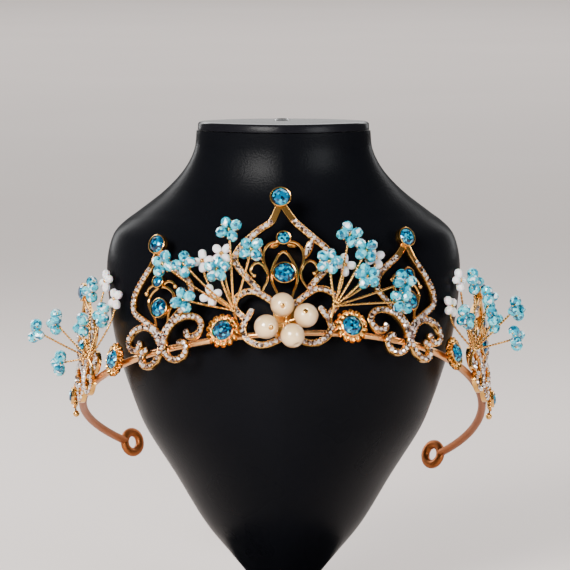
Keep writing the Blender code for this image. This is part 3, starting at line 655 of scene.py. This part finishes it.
def repeated(shape, places, turns=None):
    """Copies of a small shape at places (n, 3), each turned by its matrix (n, 3, 3), as one shape."""
    points, quads, triangles = shape
    count = len(places)
    turned_points = np.broadcast_to(points, (count,) + points.shape)
    if turns is not None:
        turned_points = np.einsum("nij,mj->nmi", turns, points)
    moved = (turned_points + places[:, None]).reshape(-1, 3)
    starts = np.arange(count)[:, None, None] * len(points)
    return moved, (quads[None] + starts).reshape(-1, 4), (triangles[None] + starts).reshape(-1, 3)


def spin_matrices(angles):
    """Turns about the w direction."""
    cos, sin, zero, one = np.cos(angles), np.sin(angles), np.zeros_like(angles), np.ones_like(angles)
    rows = np.stack([cos, -sin, zero, sin, cos, zero, zero, zero, one], axis=-1)
    return rows.reshape(-1, 3, 3)


def painted_glint_patches_group():
    """A random value for each small patch of the surface, for painting the light broken up inside a cut
    stone as patches of painted glints and painted shade.
    """
    group, given, result = new_group("painted_glint_patches", {"Patch Scale": 700.0}, ("Patch",))
    place = new_node(group, "ShaderNodeTexCoord").outputs["Object"]
    cells = new_node(group, "ShaderNodeTexVoronoi", {"Vector": place, "Scale": given.outputs["Patch Scale"]})
    split = new_node(group, "ShaderNodeSeparateColor", {"Color": cells.outputs["Color"]})
    group.links.new(split.outputs["Red"], result.inputs["Patch"])
    return group


def painted_glint_stone(name, tones_and_glints, patch_scale, roughness, metallic, coat):
    """A foiled stone whose light is painted: broken patches of several tones, from painted shade to painted
    glints, under a clear face.
    Each tone comes with the share of the patches that are darker."""
    material, tree, shader = new_material(name)
    patches = new_node(tree, "ShaderNodeGroup", {"Patch Scale": patch_scale}, node_tree=painted_glint_patches)
    ramp = new_node(tree, "ShaderNodeValToRGB", {"Fac": patches.outputs["Patch"]})
    ramp.color_ramp.interpolation = "CONSTANT"
    stops = ramp.color_ramp.elements
    stops.remove(stops[1])
    stops[0].color = (*tones_and_glints[0][1], 1.0)
    for share, tone in tones_and_glints[1:]:
        stops.new(share).color = (*tone, 1.0)
    tree.links.new(ramp.outputs["Color"], shader.inputs["Base Color"])
    shader.inputs["Roughness"].default_value = roughness
    shader.inputs["Metallic"].default_value = metallic
    shader.inputs["Coat Weight"].default_value = coat
    shader.inputs["Coat Roughness"].default_value = 0.02
    return material


painted_glint_patches = painted_glint_patches_group()
# Patches from near black to white: painted shade and painted sparkle of the clear cut stones
RHINESTONE_TONES_AND_PAINTED_GLINTS = (
    (0.0, (0.05, 0.026, 0.018)), (0.22, (0.26, 0.15, 0.12)),
    (0.40, (0.66, 0.50, 0.46)), (0.60, (1.0, 0.95, 0.93)),
)
rhinestone = painted_glint_stone(
    "rhinestone", RHINESTONE_TONES_AND_PAINTED_GLINTS, patch_scale=1150.0, roughness=0.1, metallic=0.5, coat=0.6
)
row_stone = turned(STONE_RADIUS * SMALL_STONE, 8)
row_grain = turned(GRAIN_RADIUS * SMALL_GRAIN, 6)


def stone_row(path, bare_start):
    """Stones at even steps along a scroll, and two grains at its edges between each pair."""
    line = spaced(path, STONE_PITCH, ROW_START + bare_start, ROW_END)
    points = raised(line, STONE_LEVEL)
    across, _ = sides_of(points, (0.0, 0.0, 1.0))
    between = (points[:-1] + points[1:]) / 2
    edge = GRAIN_OFFSET * (across[:-1] + across[1:]) / 2
    grains = np.concatenate([between + edge, between - edge])
    run = np.arctan2(across[:, 1], across[:, 0])
    return repeated(row_stone, points, spin_matrices(run)), repeated(row_grain, grains)


for name, reach, paths, _, _ in CASTINGS:
    middle = reach + CASTING_SHIFT
    arches = paths[:2]
    rows = [stone_row(path, BARE_TIP if path in arches else 0.0) for path in paths]
    for kind, index, material, slot_name in (
        ("rhinestones", 0, rhinestone, "white_bead"), ("stone_grains", 1, crest_gilt, "gold")
    ):
        shapes = [bent(shifted(row[index], middle, stand_off(middle))) for row in rows]
        if (name, kind) == ("centre", "rhinestones"):
            tip, root, half_width = LEAVES[0]
            for ends in ((tip, root), mirrored((tip, root))):
                shapes.append(bent(shifted(leaf_stone(*ends, half_width), middle)))
        piece(f"{name}_{kind}", shapes, material, sharp=12)


# Blue stones: round cut stones of deep capri blue glass, foiled behind, pressed into the castings' cups
# and into the flower settings. Their table and facets are painted as dark and bright cyan patches: painted
# shade and painted glints on the blue.

FRONT_SETTING = 19.7
SIDE_SETTING = 65.6
END_SETTING = 113.5
SETTING_V = 1.2
END_V = 0.5
SETTING_BACK = 3.4
SETTING_RIM = 5.9
# How far a stone's girdle lies under the rim of a cup or a bezel, and its play in it
GIRDLE_IN_CUP = 0.35
GIRDLE_IN_BEZEL = 0.4
STONE_PLAY = 0.05


def cut_stone(girdle, table=0.56, crown=0.42, depth=0.7):
    """A brilliant of radius girdle about its girdle's level: an octagonal table, eight star and eight
    kite facets, sixteen facets down to the girdle, and a pavilion that meets in a point."""
    def ring(radius, level, count, turn):
        angle = (np.arange(count) + turn) / count * 2 * math.pi
        return np.stack([radius * np.cos(angle), radius * np.sin(angle), np.full(count, level)], axis=-1)

    points = np.concatenate([
        ring(girdle * table, girdle * crown, 8, 0.0), ring(girdle * 0.8, girdle * crown * 0.6, 8, 0.5),
        ring(girdle, 0.0, 16, 0.0), ((0.0, 0.0, -girdle * depth), (0.0, 0.0, girdle * crown)),
    ])
    k = np.arange(8)
    after, before = (k + 1) % 8, (k - 1) % 8
    table_fan = np.stack([k, after, np.full(8, 33)], axis=-1)
    stars = np.stack([k, k + 8, after], axis=-1)
    kites = np.stack([k, before + 8, 16 + 2 * k, k + 8], axis=-1)
    halves = np.concatenate([
        np.stack([k + 8, 16 + 2 * k, 17 + 2 * k], axis=-1),
        np.stack([k + 8, 17 + 2 * k, 16 + (2 * k + 2) % 16], axis=-1),
    ])
    g = np.arange(16)
    pavilion = np.stack([16 + (g + 1) % 16, 16 + g, np.full(16, 32)], axis=-1)
    return points, kites, np.concatenate([table_fan, stars, halves, pavilion])


def local_frame(s, v, w):
    """The place of a flat point, and the matrix whose columns run along s, up v and out w there."""
    step = 0.5
    here, along, up = wrap(((s, v, w), (s + step, v, w), (s, v + step, w)))
    x = unit(along - here)
    y = unit((up - here) - x * np.dot(x, up - here))
    return here, np.stack([x, y, np.cross(x, y)], axis=-1)


def set_in(shape, place):
    """A shape drawn about a flat place, put there rigidly."""
    here, turn = local_frame(*place)
    return (shape[0] @ turn.T + here,) + tuple(shape[1:])


# Deep blue patches up to bright cyan: the glass's blue with painted shade and painted glints of its facets
CAPRI_TONES_AND_PAINTED_GLINTS = (
    (0.0, (0.0, 0.010, 0.032)), (0.26, (0.0, 0.042, 0.11)),
    (0.50, (0.0, 0.135, 0.28)), (0.77, (0.0, 0.44, 0.65)),
)
capri_blue = painted_glint_stone(
    "capri_blue_glass", CAPRI_TONES_AND_PAINTED_GLINTS, patch_scale=1250.0, roughness=0.08, metallic=0.3, coat=0.15
)
blue_places = []
for name, reach, _, _, cups in CASTINGS:
    middle = reach + CASTING_SHIFT
    for which, s, v, radius in cups:
        place = (middle + s, v, stand_off(middle))
        girdle = radius - CUP_WALL - STONE_PLAY
        blue_places.append((f"{name}_{which}", place, CUP_RIM - GIRDLE_IN_CUP, girdle))
# Name, place along the band and over it, radius of the petals and of the bezel, and how much nearer
# to the band it stands
SETTINGS = []
for name, reach, v, rim, cup, sink in (
    ("front", FRONT_SETTING, SETTING_V, 5.6, 3.6, 0.0),
    ("side", SIDE_SETTING, SETTING_V, 5.6, 3.6, 2.0),
    ("end", END_SETTING, END_V, 4.2, 3.0, 2.0),
):
    for hand, sign in (("left", -1), ("right", 1)):
        s = sign * reach + CASTING_SHIFT
        SETTINGS.append((name, hand, (s, v, stand_off(s) - sink), rim, cup, sink))
for name, hand, place, _, cup, _ in SETTINGS:
    girdle = cup - CUP_WALL - STONE_PLAY
    blue_places.append((f"{name}_setting_{hand}", place, SETTING_RIM - GIRDLE_IN_BEZEL, girdle))
for name, place, level, girdle in blue_places:
    stone = set_in(shifted(cut_stone(girdle), 0.0, level), place)
    piece(f"blue_stone_{name}", [stone], capri_blue, [f"stone_{name}"], sharp=5)


# Flower settings: six stamped rosettes of thin gilt metal, each a ring of scooped petals round a smooth
# bezel, held out from the band on a short post. The end ones also hang a petal and a ball below.

PETAL_COUNT = 14
PETAL_SAMPLES = 10
PETAL_LEVEL = 4.35
SCOOP = 0.55
RISE = 0.55
DIP = 0.5
# How far the outline is drawn in between petals, as a share of its radius
NOTCH = 0.15
BEZEL_FLOOR = 4.7
POST_RADIUS = 1.6
# The hanging petal: its top, length, half width and level, its section, and the ball at its tip
DROP = {"top": -2.0, "length": 3.8, "half": 1.3, "level": 4.0, "bow": 0.25}
DROP_SECTION = np.array((
    (-1.0, 0.28), (-0.6, 0.1), (0.0, 0.0), (0.6, 0.1), (1.0, 0.28), (0.5, -0.22), (-0.5, -0.22),
))
DROP_BALL = (1.15, (0.0, -6.3, 4.0))


def rosette(rim, cup, sink):
    """Rings from the bezel's inside out over the petals and back to the post. Over a petal, with p from
    0 at its middle to 1 at its sides and u from 0 to 1 along it, the level is a scoop p^2, a rise u^2
    at the edge and a dip sin(pi u), and the outline is drawn in between petals."""
    angle = np.arange(PETAL_COUNT * PETAL_SAMPLES) / (PETAL_COUNT * PETAL_SAMPLES) * 2 * math.pi
    p = np.abs((angle * PETAL_COUNT / (2 * math.pi)) % 1.0 * 2 - 1)
    edge = (rim + 0.15) * (1 - NOTCH * p**2.6)
    inner = cup - CUP_WALL
    rings = [
        (0.01, BEZEL_FLOOR), (inner, BEZEL_FLOOR), (inner + 0.05, 5.7), (inner + 0.2, SETTING_RIM),
        (cup, 5.75), (cup + 0.05, 4.9),
    ]
    for u in np.linspace(0.0, 1.0, 7):
        scoop = SCOOP * p**2 * math.sin(math.pi * min(u * 0.8 + 0.1, 1.0))
        level = PETAL_LEVEL + scoop + RISE * u**2 - DIP * math.sin(math.pi * u)
        rings.append(((cup + 0.1) * (1 - u) + edge * u, level))
    rings += [
        (edge, 4.55), (edge * 0.9, 3.9), (cup, SETTING_BACK), (POST_RADIUS, SETTING_BACK),
        (POST_RADIUS, CAST_BACK + sink), (0.01, CAST_BACK + sink),
    ]
    radius, level = (np.stack([value + 0 * angle for value in column]) for column in zip(*rings))
    return skin(np.stack([radius * np.cos(angle), radius * np.sin(angle), level], axis=-1))


def drop_petal():
    """The cupped petal under an end setting, its half width narrowing as sqrt(1 - u^2.2), and its ball."""
    u = np.linspace(0.0, 1.0, 12)
    level = DROP["level"] + DROP["bow"] * np.sin(math.pi * u)
    line = np.stack([0 * u, DROP["top"] - DROP["length"] * u, level], axis=-1)
    half = DROP["half"] * np.sqrt(np.maximum(1 - u**2.2, 0.004))
    across, over = sides_of(line, (0.0, 0.0, 1.0))
    grid = line[:, None] + DROP_SECTION[None, :, :1] * half[:, None, None] * across[:, None]
    return [skin(grid + DROP_SECTION[None, :, 1:] * over[:, None]), ball(*DROP_BALL, 20)]


for name, hand, place, rim, cup, sink in SETTINGS:
    shapes = [rosette(rim, cup, sink)] + (drop_petal() if name == "end" else [])
    shapes = [set_in(shape, place) for shape in shapes]
    node = f"flower_setting_{name}_{hand}"
    piece(f"rosette_{name}_{hand}", shapes, crest_gilt, [node], sharp=45)


# Pearls: four round ivory pearls, half drilled, each glued to a pin. Their wires meet in a gilt knot
# on a short post at the middle of the crown, over the oval plate.

PEARL_RADIUS = 3.96
PEARL_WIRE = 0.45
PEARL_KNOT = (1.4, 1.6)
KNOT_LEVEL = 7.6
# Radius and level: the knot's post up from the oval plate, and the melted ball on it
KNOT_POST = ((0.01, 7.0), (1.1, 7.0), (1.1, 3.25), (0.01, 3.25))
KNOT_BALL = (1.35, (0.0, 0.0, 7.4))
# In pearl radii: the drilled hole's rolled edge as (angle from the hole, size), and the pin's end in
# it as (radius, level)
HOLE_EDGE = ((0.22, 0.95), (0.25, 0.985))
PIN_END = np.array(((0.01, 0.99), (0.12, 0.985), (0.18, 0.97), (0.21, 0.945), (0.21, 0.88)))
# Name, s, v, w, and the way its drilled end looks, as (along s, up v, out w)
PEARLS = (
    ("top", 0.4, 7.0, 9.0, (0.0, -0.38, 0.92)),
    ("left", -4.4, -0.7, 11.0, (0.46, -0.36, 0.81)),
    ("right", 6.8, 2.8, 10.0, (-0.16, 0.08, 0.98)),
    ("bottom", 2.6, -4.5, 12.0, (0.3, -0.9, 0.3)),
)


def drilled_ball(radius, looks):
    """A sphere turned about the way its drilled end looks, with the hole's edge rolled in and a pin end."""
    around = np.stack([np.linspace(0.29, math.pi - 0.02, 40), np.ones(40)], axis=-1)
    tilt, size = np.concatenate([HOLE_EDGE, around]).T
    pearl = turned(radius * np.stack([size * np.sin(tilt), size * np.cos(tilt)], axis=-1), 56)
    pin = turned(radius * PIN_END, 24)
    axis = unit(np.array(looks, float))
    side = unit(np.cross((0.2, 1.0, 0.1), axis))
    turn = np.stack([side, np.cross(axis, side), axis], axis=-1)
    return [(points @ turn.T, quads, triangles) for points, quads, triangles in (pearl, pin)]


pearl_with_painted_rim, tree, shader = new_material("pearl_with_painted_rim")
# The base colour runs from ivory face on to dark brown at the rim by Layer Weight: painted rim shade and
# painted reflection of the gold around it
edge = new_node(tree, "ShaderNodeLayerWeight", {"Blend": 0.5})
cloud = new_node(tree, "ShaderNodeGroup", {"Cloud Scale": 260.0}, node_tree=skin_grain)
painted_rim_shade = new_node(tree, "ShaderNodeMixRGB", {
    0: edge.outputs["Facing"], 1: (1.0, 0.73, 0.38, 1.0), 2: (0.36, 0.15, 0.05, 1.0),
})
warm = new_node(tree, "ShaderNodeMixRGB", {
    0: cloud.outputs["Cloud"], 1: (1.0, 1.0, 1.0, 1.0), 2: (0.96, 0.93, 0.92, 1.0),
})
tint = new_node(
    tree, "ShaderNodeMixRGB", {0: 1.0, 1: painted_rim_shade.outputs[0], 2: warm.outputs[0]}, blend_type="MULTIPLY"
)
tree.links.new(tint.outputs[0], shader.inputs["Base Color"])
shader.inputs["Roughness"].default_value = 0.3
shader.inputs["Specular IOR Level"].default_value = 0.5
shader.inputs["Coat Weight"].default_value = 1.0
shader.inputs["Coat Roughness"].default_value = 0.14
shader.inputs["Coat IOR"].default_value = 1.85
shader.inputs["Subsurface Weight"].default_value = 0.06
shader.inputs["Subsurface Radius"].default_value = (0.9, 0.6, 0.4)
shader.inputs["Subsurface Scale"].default_value = 0.001
knot_place = (*PEARL_KNOT, 0.0)
hub = wrap((*PEARL_KNOT, KNOT_LEVEL))
wire_shapes = [set_in(shape, knot_place) for shape in (turned(KNOT_POST, 20), ball(*KNOT_BALL, 20))]
for name, s, v, w, looks in PEARLS:
    pearl, pin = (set_in(shape, (s, v, w)) for shape in drilled_ball(PEARL_RADIUS, looks))
    piece(f"ivory_pearl_{name}", [pearl], pearl_with_painted_rim, [f"pearl_{name}"], sharp=60)
    middle = wrap((s, v, w))
    near = middle + unit(hub - middle) * (PEARL_RADIUS - 0.2)
    line = hub + (near - hub) * np.linspace(0, 1, 6)[:, None]
    wire_shapes.append(carried(line, round_section(12), (0.0, 0.3, 1.0), PEARL_WIRE))
    if name != "bottom":
        wire_shapes.append(pin)
piece("pearl_pins", wire_shapes, crest_gilt, ["pearl_wires"], sharp=50)


# Sprays: four branches of hand-twisted gilt wire. The front of each carries flowers of faceted aqua
# glass rondelles; a second branch bound behind it carries flowers of fluted, frosted white beads.

MIDDLE = (0.0, 0.0, 0.0)
BEAD_HALF = 1.65
BEAD_STAGGER = 0.4
BEAD_RING = 2.6
PETAL_RING = 2.25
STEM_RADIUS = 0.5
SPRAY_WIRE = 0.4
STRAND_RADIUS = 0.2
STRAND_PITCH = 2.2
STRAND_STEPS = 9
GAP = 0.3
# Melted balls of gilt wire: where a spray's wires meet before and behind, at a flower's and a
# blossom's middle, and at a bead's eyes
HUB_BALL = 0.75
KNOT_BALL_BEHIND = 0.6
FLOWER_BALL = 0.7
BLOSSOM_BALL = 0.75
EYE_BALL = 0.32
# Radius, level and turn of a rondelle's rings, in facets
RONDELLE_ROWS = (
    (0.6, 1.65, 0.0), (1.45, 1.3, 0.5), (2.04, 0.4, 0.0), (2.04, -0.4, 0.5), (1.45, -1.3, 0.0),
    (0.6, -1.65, 0.5),
)
FACETS = 10
# Place along a fluted bead, and its radius there
FLUTED_ROWS = np.array((
    (-1.62, 0.25), (-1.5, 0.70), (-1.15, 1.08), (-0.6, 1.32), (0.05, 1.42), (0.7, 1.36), (1.25, 1.05),
    (1.55, 0.62), (1.65, 0.22),
))
FLUTES = 8
FLUTE_DEPTH = 0.06
# A bead's own x stays outwards in its ring, and its hole is laid round the ring
ALONG_RING = np.array(((1.0, 0.0, 0.0), (0.0, 0.0, -1.0), (0.0, 1.0, 0.0)))
# The stem's path; flowers: s, v, w, beads, first bead's angle; blossoms: the same and their wire's bows
SPRAYS = {
    "front_left": {
        "stem": ((-14.4, 0.4, 2.0), (-14.4, 4.9, 2.05), (-14.4, 7.6, 5.2)),
        "flowers": (
            (-14.2, 35.0, 7.0, 4, 20), (-7.9, 27.3, 7.0, 4, 35), (-18.1, 21.4, 8.0, 5, 10),
            (-28.9, 25.4, 7.0, 4, 0), (-36.2, 27.0, 7.0, 4, 60), (-29.4, 13.1, 7.5, 4, 15),
        ),
        "blossoms": (
            (-24.3, 26.6, 3.2, 4, 0, 0.3, -0.5), (-17.4, 27.6, 4.8, 4, 40, 0.3, -1.0),
            (-21.9, 14.2, 3.6, 4, 10, 0.0, -0.5),
        ),
    },
    "front_right": {
        "stem": ((15.0, 2.0, 3.85), (15.4, 4.6, 3.9), (16.2, 7.6, 5.2)),
        "flowers": (
            (21.6, 32.1, 7.0, 4, 10), (26.6, 27.0, 7.0, 4, 40), (14.7, 22.0, 8.0, 5, 0),
            (26.1, 17.7, 8.0, 5, 30), (39.2, 17.8, 7.0, 4, 15), (37.7, 10.6, 7.5, 4, 50),
        ),
        "blossoms": ((31.4, 26.2, 3.2, 4, 30, 0.3, 0.0), (20.6, 22.4, 3.9, 4, 0, 0.2, -0.5)),
    },
    "far_left": {
        "stem": ((-78.2, -1.0, 4.2), (-78.6, 2.4, 4.25), (-79.0, 5.5, 5.4)),
        "flowers": (
            (-76.4, 29.0, 5.4, 4, 0), (-70.4, 18.6, 4.0, 5, 30), (-82.4, 18.0, 6.5, 4, 15),
            (-88.4, 20.1, 14.0, 4, 0), (-88.4, 16.5, 20.6, 4, 45), (-88.4, 5.6, 12.5, 5, 20),
        ),
        "blossoms": ((-69.8, 30.4, 2.6, 4, 0, -0.2, -0.2), (-64.0, 22.6, 2.2, 4, 20, 0.3, -0.4)),
    },
    "far_right": {
        "stem": ((77.0, -1.0, 4.2), (77.6, 2.4, 4.25), (78.4, 5.5, 5.4)),
        "flowers": (
            (76.6, 28.8, 7.0, 4, 10), (80.6, 23.4, 10.5, 4, 30), (72.0, 15.0, 5.2, 5, 10),
            (81.6, 16.0, 11.5, 4, 25), (85.6, 20.9, 18.1, 5, 5), (87.6, 11.0, 17.1, 4, 40),
        ),
        "blossoms": ((70.6, 27.6, 4.2, 4, 15, -0.1, -0.8), (66.0, 17.2, 2.9, 4, 50, 0.3, -1.2)),
    },
}


def twisted(start, end, bow, rise):
    """Two strands wound round a bowed line: the strands run in a helix, and the line bows by sin(pi t),
    along the band by a share of its own run and outwards by the rise."""
    start, end = np.array(start, float), np.array(end, float)
    length = np.linalg.norm(end - start)
    count = int(length / STRAND_PITCH * STRAND_STEPS)
    t = np.linspace(0, 1, count)[:, None]
    line = start + (end - start) * t
    line[:, 0:1] += np.sin(t * math.pi) * bow * (end[0] - start[0])
    line[:, 2:3] += np.sin(t * math.pi) * rise
    across, over = sides_of(line, (0.0, 0.0, 1.0))
    shapes = []
    for phase in (0.0, math.pi):
        angle = phase + t * length / STRAND_PITCH * 2 * math.pi
        strand = line + STRAND_RADIUS * (np.cos(angle) * across + np.sin(angle) * over)
        shapes.append(carried(strand, round_section(6), size=STRAND_RADIUS))
    return [bent(shape) for shape in shapes]


def rondelle():
    """A ten-sided faceted bead with its hole along w: rings of facets, turned half a facet in turn."""
    radius, level, turn = np.array(RONDELLE_ROWS).T[:, :, None]
    angle = (np.arange(FACETS) + turn) / FACETS * 2 * math.pi
    return skin(np.stack([radius * np.cos(angle), radius * np.sin(angle), level + 0 * angle], axis=-1))


def fluted_petal():
    """A melon-shaped bead lying along x: its radius swings over the flutes by the cosine of 8 a."""
    angle = np.arange(32) / 32 * 2 * math.pi
    along, radius = FLUTED_ROWS.T[:, :, None]
    flute = radius * (1 - FLUTE_DEPTH + FLUTE_DEPTH * np.cos(FLUTES * angle))
    along = np.broadcast_to(along, flute.shape)
    return skin(np.stack([along, flute * np.cos(angle), flute * np.sin(angle)], axis=-1))


def ring_places(flower, ring, stagger):
    """Places and turns of a flower's beads about its middle, with the beads' x outwards."""
    s, v, w, count, first = flower[:5]
    here, turn = local_frame(s, v, w)
    k = np.arange(count)
    spins = spin_matrices(math.radians(first) + k * 2 * math.pi / count)
    offset = np.stack([np.full(count, ring), np.zeros(count), stagger * (-1.0) ** k], axis=-1)
    spins = np.einsum("ij,njk->nik", turn, spins)
    return here + np.einsum("nij,nj->ni", spins, offset), spins


# Patches from dark teal to white: the beads' aqua with painted shade and painted glints of their facets
AQUA_TONES_AND_PAINTED_GLINTS = (
    (0.0, (0.0, 0.10, 0.18)), (0.18, (0.0, 0.30, 0.46)), (0.42, (0.02, 0.52, 0.68)),
    (0.70, (0.18, 0.78, 0.88)), (0.91, (0.90, 0.98, 1.0)),
)
aqua_glass = painted_glint_stone("aqua_glass", AQUA_TONES_AND_PAINTED_GLINTS, patch_scale=950.0, roughness=0.08, metallic=0.0, coat=0.5)
shader = aqua_glass.node_tree.nodes["Principled BSDF"]
shader.inputs["Transmission Weight"].default_value = 0.15
shader.inputs["IOR"].default_value = 1.55
frosted_white, tree, shader = new_material("frosted_white_glass")
cloud = new_node(tree, "ShaderNodeGroup", {"Cloud Scale": 200.0}, node_tree=skin_grain)
tint = new_node(tree, "ShaderNodeMixRGB", {
    0: cloud.outputs["Cloud"], 1: (0.95, 0.93, 0.94, 1.0), 2: (0.90, 0.84, 0.87, 1.0),
})
tree.links.new(tint.outputs[0], shader.inputs["Base Color"])
shader.inputs["Roughness"].default_value = 0.38
shader.inputs["Subsurface Weight"].default_value = 0.3
shader.inputs["Subsurface Scale"].default_value = 0.0008

aqua_bead, white_bead = rondelle(), fluted_petal()
for name, spray in SPRAYS.items():
    stem = np.array(spray["stem"], float)
    hub = stem[-1]
    knot = np.array((hub[0], hub[1] + 0.9, hub[2] - STEM_RADIUS - GAP - SPRAY_WIRE))
    front_wires = [
        bent(carried(through(stem, 24), round_section(12), size=STEM_RADIUS)),
        set_in(ball(HUB_BALL, MIDDLE), tuple(hub)),
    ]
    back_wires = [set_in(ball(KNOT_BALL_BEHIND, MIDDLE), tuple(knot))]
    beads, petals = [], []
    for flower in spray["flowers"]:
        front_wires += twisted(hub, flower[:3], 0.05, 0.0)
        places, turns = ring_places(flower, BEAD_RING, BEAD_STAGGER)
        turns = turns @ ALONG_RING
        beads.append(repeated(aqua_bead, places, turns))
        front_wires.append(set_in(ball(FLOWER_BALL, MIDDLE), flower[:3]))
        for side in (-1, 1):
            eyes = places + side * (BEAD_HALF + 0.05) * turns[..., 2]
            front_wires.append(repeated(ball(EYE_BALL, MIDDLE, 8), eyes))
    for flower in spray["blossoms"]:
        back_wires += twisted(knot, flower[:3], flower[5], flower[6])
        places, turns = ring_places(flower, PETAL_RING, 0.0)
        petals.append(repeated(white_bead, places, turns))
        back_wires.append(set_in(ball(BLOSSOM_BALL, (0.0, 0.0, 0.4)), flower[:3]))
    piece(f"aqua_beads_{name}", beads, aqua_glass, [f"spray_{name}"], sharp=8)
    piece(f"white_beads_{name}", petals, frosted_white, [f"blossoms_{name}"], sharp=50)
    piece(f"twisted_wire_{name}", front_wires + back_wires, crest_gilt, sharp=60)


# Stage: a wide pale floor under the base plate, a soft light before the left shoulder, a weaker one from
# the right, two strips behind that edge the shoulders, a broad light over the far floor, and the camera
# at the photograph's angle.

FLOOR_REACH = 6.0
VIEW_FROM = (0.0005, -1.2423, 0.2530)
VIEW_TO = (0.0005, -0.0500, 0.1172)
LENS = 233.4
SENSOR = 36.0

pale_floor, tree, shader = new_material("pale_floor")
place = new_node(tree, "ShaderNodeTexCoord").outputs["Object"]
soft = new_node(tree, "ShaderNodeTexNoise", {"Vector": place, "Scale": 3.0})
tint = new_node(tree, "ShaderNodeMixRGB", {
    0: soft.outputs["Fac"], 1: (0.80, 0.71, 0.67, 1.0), 2: (0.86, 0.77, 0.73, 1.0),
})
tree.links.new(tint.outputs[0], shader.inputs["Base Color"])
shader.inputs["Roughness"].default_value = 0.75
corners = np.array(((-1, -1, 0), (1, -1, 0), (1, 1, 0), (-1, 1, 0))) * FLOOR_REACH
mesh = bpy.data.meshes.new("floor")
mesh.from_pydata(corners.tolist(), [], [(0, 1, 2, 3)])
mesh.materials.append(pale_floor)
floor = bpy.data.objects.new("floor", mesh)
bpy.context.scene.collection.objects.link(floor)


def aimed(made, place, target):
    """Turns an object at place so that its -Z looks at the target."""
    made.location = place
    run = np.array(target) - np.array(place)
    made.rotation_euler = (
        math.acos(-run[2] / np.linalg.norm(run)), 0.0, math.atan2(run[0], -run[1]) + math.pi
    )
    bpy.context.scene.collection.objects.link(made)
    return made


def soft_light(name, place, target, size, power, colour=(1.0, 1.0, 1.0)):
    data = bpy.data.lights.new(name, "AREA")
    data.shape = "RECTANGLE"
    data.size, data.size_y = size
    data.energy = power
    data.color = colour
    return aimed(bpy.data.objects.new(name, data), place, target)


CHEST = (0.0, -0.04, 0.11)
# Name, place, what it looks at, width and height, watts and colour
soft_light("key", (-0.54, -1.0, 0.58), CHEST, (0.42, 0.42), 27.0, (1.0, 0.98, 0.95))
soft_light("fill", (0.75, -0.85, 0.40), CHEST, (0.3, 0.4), 7.0, (0.95, 0.98, 1.0))
soft_light("left_edge", (-0.6, 0.45, 0.45), CHEST, (0.2, 0.6), 6.0)
soft_light("right_edge", (0.6, 0.45, 0.45), CHEST, (0.2, 0.6), 3.0)
soft_light("over_floor", (0.0, 4.0, 3.2), (0.0, 3.6, 0.0), (5.0, 4.0), 165.0)
# The sky over the stage: dim before the crown and bright behind it, by the y of the view's direction
world = bpy.data.worlds.new("studio")
world.use_nodes = True
tree = world.node_tree
direction = new_node(tree, "ShaderNodeTexCoord").outputs["Generated"]
split = new_node(tree, "ShaderNodeSeparateXYZ", {0: direction})
glow = new_node(tree, "ShaderNodeMapRange", {
    "Value": split.outputs["Y"], "From Min": 0.1, "From Max": 0.95, "To Min": 0.14, "To Max": 0.75,
})
sky = tree.nodes["Background"]
sky.inputs["Color"].default_value = (0.92, 0.91, 0.90, 1.0)
tree.links.new(glow.outputs[0], sky.inputs["Strength"])
bpy.context.scene.world = world

lens = bpy.data.cameras.new("camera")
lens.lens = LENS
lens.sensor_width = SENSOR
camera = aimed(bpy.data.objects.new("camera", lens), VIEW_FROM, VIEW_TO)
bpy.context.scene.camera = camera
